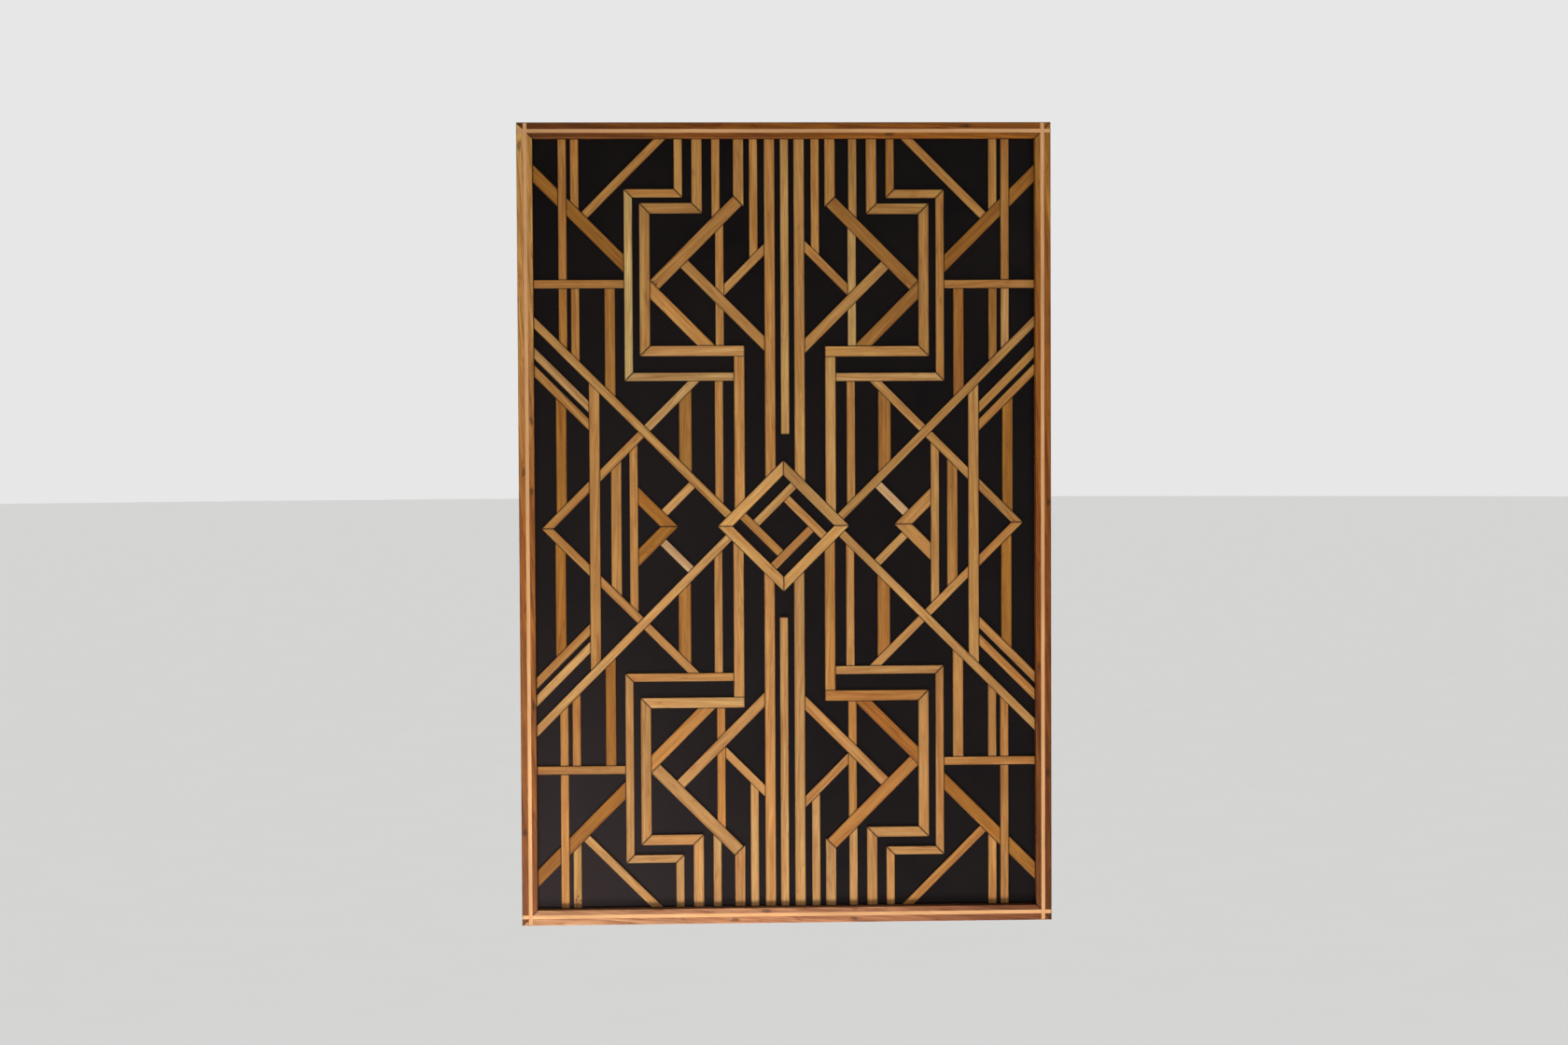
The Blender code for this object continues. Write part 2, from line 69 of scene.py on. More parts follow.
SLAT_FACE_Y = -0.0163
THIN_SLAT = 0.0092
MEDIUM_SLAT = 0.0116
WIDE_SLAT = 0.0140
OPENING_OUT = HALF_WIDTH - FRAME_FACE
OPENING_UP = HALF_HEIGHT - FRAME_FACE

# Uprights, by their distance from the middle
COLUMN_OUT = 0.0167
ARROW_POST_OUT = 0.0347
DROP_POST_OUT = 0.0515
STEM_OUT = 0.0745
FAN_POST_OUT = 0.0771
INNER_STEP_TOP_OUT = 0.0983
BRANCH_POST_OUT = 0.1125
OUTER_STEP_TOP_OUT = 0.1193
INNER_STEP_SIDE_OUT = 0.1573
LADDER_INNER_OUT = 0.1702
OUTER_STEP_SIDE_OUT = 0.1756
LADDER_OUTER_OUT = 0.1899
HANGER_OUT = 0.1966
RACK_POST_OUT = 0.2140
CORNER_INNER_OUT = 0.2354
CORNER_OUTER_OUT = 0.2492
RACK_STUB_OUT = 0.2520

# Level slats, by their height above or below the middle
OUTER_STEP_LOW_UP = 0.1677
INNER_STEP_LOW_UP = 0.1967
CROSSBAR_UP = 0.2721
INNER_STEP_HIGH_UP = {"top": 0.3570, "bottom": 0.3522}
OUTER_STEP_HIGH_UP = 0.3737

# Slats that climb outwards at 45 degrees, by out minus up
ARROW_BRACE_LEAN = -0.1786
WIDE_BRACE_LEAN = -0.1145
LONG_DIAGONAL_LEAN = 0.0525
RACK_INNER_LEAN = 0.0868
RACK_OUTER_LEAN = 0.1067
CHEVRON_LEAN = 0.1322

# Slats that fall outwards at 45 degrees, by out plus up
CHEVRON_ARM_REACH = 0.1511
SIDE_POINT_REACH = 0.2654
ARROW_HEAD_REACH = 0.3328
FAN_ARM_REACH = 0.4177
CORNER_TIE_REACH = 0.5741

# Middle: a mitred diamond round a pinwheel, and a strip above and below it
DIAMOND_CENTRE = (-0.0025, -0.0019)
DIAMOND_REACH = 0.0660
PINWHEEL_REACH = 0.0343
STRIPS = {"top": (-0.0002, 0.1015), "bottom": (-0.0026, 0.1051)}

# Shifts of each quarter's layout, outwards and up or down, and of its arrow by this much more
HAND_SHIFT = {
    "top_left": (0.0003, -0.0007),
    "top_right": (-0.0004, -0.0018),
    "bottom_left": (0.0020, 0.0047),
    "bottom_right": (-0.0018, -0.0020),
}
ARROW_SHIFT = {
    "top_left": (-0.0013, 0.0018),
    "top_right": (0.0016, 0.0032),
    "bottom_left": (-0.0023, -0.0102),
    "bottom_right": (0.0020, 0.0050),
}
SIDES = {"left": -1, "right": 1}
LEVELS = {"top": 1, "bottom": -1}
DIAGONAL = math.sqrt(0.5)

# Finish of the woodwork
JOINT_GAP = 0.00016
MORE_JOINT_GAP = 0.00016
MITRE_GAP = 0.00020
RAIL_MITRE_GAP = 0.00010
SIDE_EASE = 0.00055
END_EASE = 0.00030
EASE_STEPS = 3
EASE_TURNS = [math.pi / 2 * step / EASE_STEPS for step in range(EASE_STEPS + 1)]
SHORTEST_EDGE = 0.0004
RAIL_EASE = 0.0009
RAIL_END_EASE = 0.00015
RAIL_STEP = 0.006
GROOVE_GAP = 0.00008
INLAY_EASE = 0.00012
BOARD_GAP = 0.0003
BOARD_EASE = 0.0004
CUTTER_REACH = 0.01
SHARP_ANGLE = 50

# Hand work: how far a slat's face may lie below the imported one, in metres, and its greatest slopes
FACE_SINK = (0.00002, 0.00020)
LEAN_ALONG = 0.0004
LEAN_ACROSS = 0.010

# Where in the wood each piece is cut, in metres, and how far a slat's grain runs off its length
GRAIN_SPREAD = 40
RAIL_GRAIN_STEPS = (7.3, 3.1, 5.7)
GRAIN_DRIFT = 0.035

# Camera, solved from the frame's corners: metres, degrees, and millimetres for lens and sensor
CAMERA_PLACE = (-0.1513, -3.4540, 0.1328)
CAMERA_YAW = 2.486
CAMERA_PITCH = -2.178
CAMERA_ROLL = -0.270
CAMERA_LENS = 70.0
SENSOR_WIDTH = 36.0

# Floor, a wide disc below the panel
FLOOR_Z = -1.75
FLOOR_RADIUS = 60.0
FLOOR_COLOURS = ((0.80, 0.80, 0.79, 1), (0.82, 0.82, 0.81, 1))

# World light: its strength in front of the panel and behind it, and the depths of direction between
ROOM_LIGHT = 0.17
BACKDROP_LIGHT = 0.80
BACKDROP_FROM = 0.0
BACKDROP_TO = 0.6

# Broad light from above: strength, and its spread and lean in degrees
OVERHEAD_LIGHT = 1.5
OVERHEAD_SPREAD = 20
OVERHEAD_LEAN = -22

# Lamps: name, place, target, size, power in watts and colour
LAMPS = (
    ("key", (-0.32, -1.15, -1.35), (0, 0, 0), (0.6, 0.45), 34.0, (1.0, 0.97, 0.92)),
    ("side glow", (-0.374, -1.70, -0.693), (-0.3, 0, -0.4), (0.5, 0.6), 2.2, (1.0, 0.90, 0.88)),
    ("middle glow", (-0.16, -1.70, 0.02), (-0.15, 0, 0.06), (0.2, 0.35), 0.3, (1.0, 0.90, 0.88)),
    ("fill", (1.4, -1.5, 0.8), (0, 0, 0), (1.4, 1.4), 9.0, (0.97, 0.98, 1.0)),
)

# Slat colours, linear
HONEY = (0.356, 0.181, 0.047)
TAN = (0.356, 0.183, 0.064)
WHEAT = (0.392, 0.220, 0.078)
STRAW = (0.376, 0.248, 0.091)
OAT = (0.396, 0.237, 0.080)
PALE = (0.404, 0.252, 0.126)
CARAMEL = (0.316, 0.140, 0.033)
BROWN = (0.268, 0.113, 0.021)
GOLD = (0.445, 0.235, 0.073)
RUST = (0.246, 0.086, 0.011)
AMBER = (0.244, 0.097, 0.012)

# Stains by role, and then of single slats, each a (group, role)
STAINS = {
    "corner brace": AMBER,
    "stub": AMBER,
    "branch post": BROWN,
}
STAINED_SLATS = {
    AMBER: (("bottom_left_crossbar", "hanger"), ("left_chevron", "chevron")),
    BROWN: (
        ("top_left_crossbar", "hanger"), ("top_right_crossbar", "hanger"),
        ("top_right_crossbar", "inner"), ("top_right_inner_step", "brace"), ("top_right_fan", "arm"),
        ("top_right_outer_step", "top"), ("top_left_crossbar", "outer"),
    ),
    WHEAT: (
        ("top_right_crossbar", "outer"), ("top_left_branch", "arm"), ("top_right_outer_step", "low"),
        ("left_chevron", "arm top"), ("left_rack", "inner bar"), ("top_left_outer_step", "low"),
        ("top_left_inner_step", "low"), ("bottom_left_inner_step", "low"),
        ("bottom_left_long_diagonal", "diagonal"),
    ),
    RUST: (("bottom_right_inner_step", "brace"),),
    CARAMEL: (
        ("bottom_right_inner_step", "drop"), ("bottom_right_corner", "tie"),
        ("bottom_left_inner_step", "brace"), ("top_left_fan", "arm"), ("bottom_right_fan", "arm"),
        ("right_ladder", "outer post"), ("centre_pinwheel", "bottom_left"),
        ("bottom_right_arrow", "stem"), ("bottom_left_arrow", "stem"),
        ("bottom_right_inner_step", "low"),
    ),
    STRAW: (("top_left_outer_step", "side"),),
    PALE: (("left_chevron", "arm bottom"), ("right_chevron", "arm top")),
    GOLD: (
        ("centre_diamond", "top_left"), ("centre_diamond", "bottom_left"),
        ("centre_diamond", "bottom_right"),
    ),
    OAT: (("centre_strip_top", "strip"), ("top_right_arrow", "stem")),
}
SPECIAL_STAINS = {slat: stain for stain, slats in STAINED_SLATS.items() for slat in slats}

# Small dark pin marks, as (group, role, distance out from the slat's centre line, place along it)
PIN_MARKS = (
    ("bottom_left_corner", "inner", -0.0004, 0.4200),
    ("bottom_left_corner", "inner", 0.0020, 0.4240),
    ("bottom_left_corner", "inner", -0.0032, 0.4250),
    ("top_left_fan", "arm", 0.0033, -0.0885),
    ("top_left_fan", "arm", -0.0011, -0.0892),
)
MARK_RADIUS = 0.0010
MARK_SIDES = 10
MARK_BURIED = 0.0004
MARK_PROUD = 0.00012
MARK_STAIN = (0.020, 0.012, 0.008, 1.0)

# How brown a plain slat is at the panel's sides, and how far each slat's stain differs
BROWN_AT_SIDES = 0.8
LIGHT_SPREAD = 0.08
WARMTH_SPREAD = (-0.06, 0.08)

rng = random.Random(11)


class Line:
    """A straight slat's centre line in the XZ plane: its unit normal, distance and half width."""

    def __init__(self, normal, distance, width=0.0):
        self.normal = normal
        self.distance = distance
        self.half = width / 2


class Quarter:
    """One quarter of the lattice. Its lines are mirrored out from the middle, then shifted."""

    def __init__(self, level, side, more_shift=(0.0, 0.0)):
        self.name = f"{level}_{side}"
        self.level_name = level
        self.out = SIDES[side]
        self.up = LEVELS[level]
        out_shift, up_shift = HAND_SHIFT[self.name]
        self.shift = (out_shift + more_shift[0], up_shift + more_shift[1])

    def line(self, out_part, up_part, distance, width):
        shifted = distance + out_part * self.shift[0] + up_part * self.shift[1]
        return Line((out_part * self.out, up_part * self.up), shifted, width)

    def upright(self, out, width):
        return self.line(1, 0, out, width)

    def level(self, up, width):
        return self.line(0, 1, up, width)

    def climbing(self, lean, width):
        return self.line(DIAGONAL, -DIAGONAL, lean * DIAGONAL, width)

    def falling(self, reach, width):
        return self.line(DIAGONAL, DIAGONAL, reach * DIAGONAL, width)


def dot(a, b):
    return a[0] * b[0] + a[1] * b[1]


def beyond(line):
    """Saw cut against a neighbour's edge: keeps what lies farther along its normal."""
    return line, 1


def before(line):
    """Saw cut against a neighbour's edge: keeps what lies nearer than it."""
    return line, -1


Slat = namedtuple("Slat", "group role line cuts corners")


class Lattice:
    def __init__(self):
        self.slats = []

    def slat(self, group, role, line, *cuts, corners=()):
        self.slats.append(Slat(group, role, line, cuts, corners))

    def partner(self, slat, neighbour):
        """The keep side by which the neighbour is mitred against this slat, or None."""
        for other in self.slats:
            if other.line is neighbour and other.group == slat.group:
                for line, keep_side in other.corners:
                    if line is slat.line:
                        return keep_side
        return None


def diamond_lines(reach, width):
    """Four lines of a square standing on its corner, clockwise from the upper left one."""
    lines = {}
    for level, side in (("top", "left"), ("top", "right"), ("bottom", "right"), ("bottom", "left")):
        normal = (SIDES[side] * DIAGONAL, LEVELS[level] * DIAGONAL)
        distance = reach * DIAGONAL + dot(normal, DIAMOND_CENTRE)
        lines[f"{level}_{side}"] = Line(normal, distance, width)
    return lines


def add_middle(lattice, opening, diamond):
    names = list(diamond)
    pinwheel = diamond_lines(PINWHEEL_REACH, THIN_SLAT)
    for turn, name in enumerate(names):
        following, previous = names[(turn + 1) % 4], names[turn - 1]
        ends = (before(diamond[following]), before(diamond[previous]))
        lattice.slat("centre_diamond", name, diamond[name], corners=ends)
        lattice.slat(
            "centre_pinwheel", name, pinwheel[name], before(diamond[following]), before(pinwheel[previous])
        )
    for level, (x, end) in STRIPS.items():
        strip = Line((1, 0), x, THIN_SLAT)
        free_end = Line((0, LEVELS[level]), end)
        lattice.slat(f"centre_strip_{level}", "strip", strip, before(opening[level]), beyond(free_end))


def add_corner(lattice, quarter, side_frame, level_frame, step_side, crossbar):
    group = quarter.name + "_corner"
    outer = quarter.upright(CORNER_OUTER_OUT, THIN_SLAT)
    inner = quarter.upright(CORNER_INNER_OUT, THIN_SLAT)
    brace = quarter.climbing(WIDE_BRACE_LEAN, WIDE_SLAT)
    tie = quarter.falling(CORNER_TIE_REACH, THIN_SLAT)
    lattice.slat(group, "outer", outer, before(level_frame), beyond(crossbar))
    lattice.slat(group, "inner", inner, before(level_frame), before(brace))
    lattice.slat(group, "corner brace", brace, before(side_frame), beyond(outer))
    lattice.slat(group, "corner brace", brace, before(outer), beyond(step_side))
    lattice.slat(group, "tie", tie, before(level_frame), before(brace), before(inner))


def add_crossbar(lattice, quarter, side_frame, step_side, crossbar, long_diagonal):
    group = quarter.name + "_crossbar"
    lattice.slat(group, "crossbar", crossbar, before(side_frame), beyond(step_side))
    for role, out, width in (
        ("outer", CORNER_OUTER_OUT, THIN_SLAT),
        ("inner", CORNER_INNER_OUT, THIN_SLAT),
        ("hanger", HANGER_OUT, MEDIUM_SLAT),
    ):
        lattice.slat(group, role, quarter.upright(out, width), before(crossbar), before(long_diagonal))


def add_steps(lattice, quarter, level_frame, lines):
    outer = quarter.name + "_outer_step"
    inner = quarter.name + "_inner_step"
    outer_top = quarter.upright(OUTER_STEP_TOP_OUT, THIN_SLAT)
    outer_high = quarter.level(OUTER_STEP_HIGH_UP, THIN_SLAT)
    inner_top = quarter.upright(INNER_STEP_TOP_OUT, MEDIUM_SLAT)
    inner_high = quarter.level(INNER_STEP_HIGH_UP[quarter.level_name], MEDIUM_SLAT)
    outer_side, outer_low = lines["outer_side"], lines["outer_low"]
    inner_side, inner_low = lines["inner_side"], lines["inner_low"]
    drop = lines["drop"]
    for group, top, high, side in (
        (outer, outer_top, outer_high, outer_side),
        (inner, inner_top, inner_high, inner_side),
    ):
        lattice.slat(group, "top", top, before(level_frame), corners=(beyond(high),))
        lattice.slat(group, "high", high, corners=(beyond(top), before(side)))
    lattice.slat(outer, "side", outer_side, corners=(before(outer_high), beyond(outer_low)))
    lattice.slat(outer, "low", outer_low, beyond(drop), corners=(before(outer_side),))
    lattice.slat(outer, "stem", lines["stem"], before(outer_low), before(lines["long_diagonal"]))
    lattice.slat(inner, "side", inner_side, corners=(before(inner_high), beyond(inner_low)))
    lattice.slat(inner, "low", inner_low, corners=(before(inner_side), beyond(drop)))
    lattice.slat(inner, "drop", drop, before(inner_low), beyond(lines["diamond"]))
    brace = lines["fan_brace"]
    lattice.slat(inner, "brace", brace, before(inner_side), beyond(inner_low), beyond(lines["arrow_stem"]))


def add_fan(lattice, quarter, level_frame, lines):
    group = quarter.name + "_fan"
    arm, brace, drop = lines["fan_arm"], lines["fan_brace"], lines["drop"]
    end_out = DROP_POST_OUT + drop.half
    end_up = FAN_ARM_REACH + arm.half / DIAGONAL - end_out
    arm_end = quarter.climbing(end_out - end_up, 0.0)
    lattice.slat(group, "arm", arm, beyond(arm_end), before(brace), before(lines["inner_side"]))
    fan_post = quarter.upright(FAN_POST_OUT, THIN_SLAT)
    lattice.slat(group, "post", fan_post, before(level_frame), beyond(arm))
    lattice.slat(group, "drop", drop, before(level_frame), before(arm_end))


def add_arrow(lattice, quarter, level_frame, lines):
    group = quarter.name + "_arrow"
    column, stem = lines["column"], lines["arrow_stem"]
    brace, head = lines["arrow_brace"], lines["arrow_head"]
    post = quarter.upright(ARROW_POST_OUT, THIN_SLAT)
    lattice.slat(group, "brace", brace, before(lines["fan_arm"]), beyond(column))
    lattice.slat(group, "head", head, beyond(column), before(stem), before(brace))
    lattice.slat(group, "post", post, before(level_frame), beyond(head))
    lattice.slat(group, "stem", stem, before(lines["fan_arm"]), before(brace))
    lattice.slat(group, "stem", stem, beyond(brace), beyond(lines["inner_low"]))


def quarter_lines(quarter, arrow, diamond):
    return {
        "arrow_stem": arrow.upright(STEM_OUT, THIN_SLAT),
        "arrow_brace": arrow.climbing(ARROW_BRACE_LEAN, MEDIUM_SLAT),
        "arrow_head": arrow.falling(ARROW_HEAD_REACH, THIN_SLAT),
        "column": quarter.upright(COLUMN_OUT, MEDIUM_SLAT),
        "drop": quarter.upright(DROP_POST_OUT, MEDIUM_SLAT),
        "stem": quarter.upright(STEM_OUT, THIN_SLAT),
        "inner_side": quarter.upright(INNER_STEP_SIDE_OUT, MEDIUM_SLAT),
        "outer_side": quarter.upright(OUTER_STEP_SIDE_OUT, THIN_SLAT),
        "inner_low": quarter.level(INNER_STEP_LOW_UP, MEDIUM_SLAT),
        "outer_low": quarter.level(OUTER_STEP_LOW_UP, THIN_SLAT),
        "fan_arm": quarter.falling(FAN_ARM_REACH, WIDE_SLAT),
        "fan_brace": quarter.climbing(WIDE_BRACE_LEAN, WIDE_SLAT),
        "long_diagonal": quarter.climbing(LONG_DIAGONAL_LEAN, THIN_SLAT),
        "side_point": quarter.falling(SIDE_POINT_REACH, THIN_SLAT),
        "diamond": diamond[quarter.name],
    }


def add_quarter(lattice, quarter, side_frame, level_frame, lines):
    crossbar = quarter.level(CROSSBAR_UP, THIN_SLAT)
    long_diagonal, diamond, column = lines["long_diagonal"], lines["diamond"], lines["column"]
    add_corner(lattice, quarter, side_frame, level_frame, lines["outer_side"], crossbar)
    add_crossbar(lattice, quarter, side_frame, lines["outer_side"], crossbar, long_diagonal)
    add_steps(lattice, quarter, level_frame, lines)
    add_fan(lattice, quarter, level_frame, lines)
    add_arrow(lattice, quarter, level_frame, lines)
    lattice.slat(quarter.name + "_column", "column", column, before(level_frame), beyond(diamond))
    name = quarter.name + "_long_diagonal"
    lattice.slat(name, "diagonal", long_diagonal, before(side_frame), beyond(diamond))
    branch = quarter.name + "_branch"
    point = lines["side_point"]
    post = quarter.upright(BRANCH_POST_OUT, WIDE_SLAT)
    lattice.slat(branch, "arm", point, before(lines["outer_low"]), before(long_diagonal))
    lattice.slat(branch, "branch post", post, before(point), before(long_diagonal))


def side_upright(side, out, width):
    """An upright that crosses the panel's middle: it takes the mean shift of its two quarters."""
    shifts = [HAND_SHIFT[f"{level}_{side}"][0] for level in LEVELS]
    return Line((SIDES[side], 0), out + sum(shifts) / len(shifts), width)


def add_side(lattice, side, quarters, side_frame, lines):
    rack_post = side_upright(side, RACK_POST_OUT, MEDIUM_SLAT)
    ladder_inner = side_upright(side, LADDER_INNER_OUT, THIN_SLAT)
    ladder_outer = side_upright(side, LADDER_OUTER_OUT, MEDIUM_SLAT)
    diagonals = [lines[level]["long_diagonal"] for level in LEVELS]
    points = [lines[level]["side_point"] for level in LEVELS]
    chevrons = [quarters[level].climbing(CHEVRON_LEAN, WIDE_SLAT) for level in LEVELS]
    rack, ladder, chevron_name = side + "_rack", side + "_ladder", side + "_chevron"
    lattice.slat(rack, "rack post", rack_post, *[beyond(diagonal) for diagonal in diagonals])
    for role, post in (("inner post", ladder_inner), ("outer post", ladder_outer)):
        lattice.slat(ladder, role, post, *[before(point) for point in points])
    for index, level in enumerate(LEVELS):
        quarter = quarters[level]
        point, far_point = points[index], points[1 - index]
        chevron, far_chevron = chevrons[index], chevrons[1 - index]
        inner_rack = quarter.climbing(RACK_INNER_LEAN, THIN_SLAT)
        outer_rack = quarter.climbing(RACK_OUTER_LEAN, THIN_SLAT)
        stub = quarter.upright(RACK_STUB_OUT, MEDIUM_SLAT)
        arm = quarter.falling(CHEVRON_ARM_REACH, THIN_SLAT)
        for role, bar in (("inner bar", inner_rack), ("outer bar", outer_rack)):
            lattice.slat(rack, role, bar, before(side_frame), beyond(rack_post))
        lattice.slat(rack, "stub", stub, beyond(outer_rack), beyond(point))
        lattice.slat(ladder, "bar", point, beyond(diagonals[index]), before(rack_post))
        lattice.slat(side + "_point", "bar", point, beyond(rack_post), corners=(before(far_point),))
        lattice.slat(chevron_name, "chevron", chevron, before(ladder_inner), corners=(beyond(far_chevron),))
        lattice.slat(chevron_name, "arm " + level, arm, beyond(diagonals[index]), before(chevron))


def lay_out():
    lattice = Lattice()
    opening = {side: Line((sign, 0), OPENING_OUT) for side, sign in SIDES.items()}
    opening.update({level: Line((0, sign), OPENING_UP) for level, sign in LEVELS.items()})
    diamond = diamond_lines(DIAMOND_REACH, MEDIUM_SLAT)
    add_middle(lattice, opening, diamond)
    for side in SIDES:
        quarters = {level: Quarter(level, side) for level in LEVELS}
        lines = {}
        for level, quarter in quarters.items():
            arrow = Quarter(level, side, ARROW_SHIFT[quarter.name])
            lines[level] = quarter_lines(quarter, arrow, diamond)
        for level in LEVELS:
            add_quarter(lattice, quarters[level], opening[side], opening[level], lines[level])
        add_side(lattice, side, quarters, opening[side], lines)
    return lattice


def mix(a, b, share):
    """The point or colour that lies that share of the way from a to b."""
    return tuple(p + (q - p) * share for p, q in zip(a, b))


def crossing(line_a, line_b):
    """Where two lines of the XZ plane, each given as (normal, distance), meet."""
    (ax, az), a = line_a
    (bx, bz), b = line_b
    spread = ax * bz - az * bx
    return ((a * bz - b * az) / spread, (ax * b - bx * a) / spread)


def edges_of(outline):
    """Each edge as its start, its kind and its end."""
    return [(p, kind, q) for (p, kind), (q, _) in zip(outline, outline[1:] + outline[:1])]


def clip(outline, normal, distance):
    """Convex outline's part where normal . p >= distance. Each corner has the kind of its next edge."""
    kept = []
    for point, kind, following in edges_of(outline):
        here = dot(normal, point) - distance
        there = dot(normal, following) - distance
        if here >= 0:
            kept.append((point, kind))
        if (here >= 0) != (there >= 0):
            met = mix(point, following, here / (here - there))
            kept.append((met, "end" if here >= 0 else kind))
    return kept


def slat_outline(lattice, slat):
    """The sawn slat's outline in the XZ plane, as (corner, kind of the edge after it)."""
    (nx, nz), far = slat.line.normal, HALF_WIDTH + HALF_HEIGHT
    along = (-nz, nx)
    outline = []
    for across, reach, kind in ((-1, -1, "end"), (1, -1, "side"), (1, 1, "end"), (-1, 1, "side")):
        shift = slat.line.distance + across * slat.line.half
        outline.append(((nx * shift + along[0] * reach * far, nz * shift + along[1] * reach * far), kind))
    for neighbour, keep_side in slat.cuts:
        gap = JOINT_GAP + MORE_JOINT_GAP * rng.random()
        normal = [part * keep_side for part in neighbour.normal]
        outline = clip(outline, normal, keep_side * neighbour.distance + neighbour.half + gap)
    for neighbour, keep_side in slat.corners:
        own_side = lattice.partner(slat, neighbour)
        normal = [part * keep_side for part in neighbour.normal]
        distance = keep_side * neighbour.distance
        if own_side is None:
            outline = clip(outline, normal, distance - neighbour.half)
        else:
            mitre = [part - own_side * own for part, own in zip(normal, slat.line.normal)]
            gap = MITRE_GAP * math.hypot(*mitre)
            outline = clip(outline, mitre, distance - own_side * slat.line.distance + gap)
    tidy = [(p, kind) for p, kind, q in edges_of(outline) if math.dist(p, q) > SHORTEST_EDGE]
    if sum(p[0] * q[1] - q[0] * p[1] for p, _, q in edges_of(tidy)) < 0:
        points, kinds = zip(*reversed(tidy))
        tidy = list(zip(points, kinds[1:] + kinds[:1]))
    return tidy


def inward_edge(p, q):
    """Length, inward normal and distance of an edge of a counter-clockwise outline."""
    length = math.dist(p, q)
    normal = (-(q[1] - p[1]) / length, (q[0] - p[0]) / length)
    return length, normal, dot(normal, p)


def shrunk(outline, share):
    """The outline, counter-clockwise, with each edge moved inwards by that share of its ease."""
    edges = []
    for p, kind, q in edges_of(outline):
        _, normal, distance = inward_edge(p, q)
        edges.append((normal, distance + share * (SIDE_EASE if kind == "side" else END_EASE)))
    return [crossing(edges[index - 1], edges[index]) for index in range(len(edges))]


def add_object(name, data):
    made = bpy.data.objects.new(name, data)
    bpy.context.scene.collection.objects.link(made)
    return made


def set_wood(mesh, **layers):
    """Gives each vertex its wood attributes: the stain is a colour and the others are vectors."""
    for name, values in layers.items():
        kind, field = ("FLOAT_COLOR", "color") if name == "stain" else ("FLOAT_VECTOR", "vector")
        layer = mesh.attributes.new(name, kind, "POINT")
        layer.data.foreach_set(field, np.array(values, dtype=np.float32).ravel())


def swept_faces(first, rings, count):
    """Faces between rings of count vertices each, and the two that close the ends."""
    faces = []
    for ring in range(rings - 1):
        low, high = first + ring * count, first + (ring + 1) * count
        for corner in range(count):
            following = (corner + 1) % count
            faces.append((low + corner, low + following, high + following, high + corner))
    last = first + (rings - 1) * count
    faces.append([first + corner for corner in reversed(range(count))])
    faces.append([last + corner for corner in range(count)])
    return faces


class MeshData:
    """Vertices, faces and the wood attributes of one piece, gathered slat by slat."""

    def __init__(self):
        self.verts, self.faces, self.grain, self.place, self.stain = [], [], [], [], []

    def object(self, name, material):
        mesh = bpy.data.meshes.new(name)
        mesh.from_pydata(self.verts, [], self.faces)
        set_wood(mesh, grain=self.grain, place=self.place, stain=self.stain)
        mesh.materials.append(material)
        return finish_piece(name, mesh)


def finish_piece(name, mesh):
    """Smooths the eased edges alone and links the piece."""
    mesh.polygons.foreach_set("use_smooth", [True] * len(mesh.polygons))
    mesh.set_sharp_from_angle(angle=math.radians(SHARP_ANGLE))
    piece = add_object(name, mesh)
    weighted = piece.modifiers.new("even faces", "WEIGHTED_NORMAL")
    weighted.keep_sharp = True
    return piece


def slat_stain(slat, middle):
    """The slat's own colour: golden above, pinker tan below, browner outwards, some darker."""
    base = SPECIAL_STAINS.get((slat.group, slat.role), STAINS.get(slat.role))
    if base is None:
        base = mix(TAN, HONEY, min(1, max(0, 0.5 + middle[1])))
        base = mix(base, BROWN, (middle[0] / HALF_WIDTH) ** 2 * BROWN_AT_SIDES)
    light = 1 + rng.uniform(-LIGHT_SPREAD, LIGHT_SPREAD)
    warmth = rng.uniform(*WARMTH_SPREAD)
    return (base[0] * light, base[1] * light * (1 - warmth), base[2] * light * (1 - 2 * warmth), 1.0)


def sawn_ends(outline, along, mid_along):
    """Inward normal and distance of the longest sawn edge at each end of a slat's outline."""
    ends = {}
    for p, kind, q in edges_of(outline):
        if kind == "end":
            edge = inward_edge(p, q)
            far = (along[0] * (p[0] + q[0]) + along[1] * (p[1] + q[1])) / 2 > mid_along
            if far not in ends or edge[0] > ends[far][0]:
                ends[far] = edge
    return [ends[far][1:] for far in (False, True)]


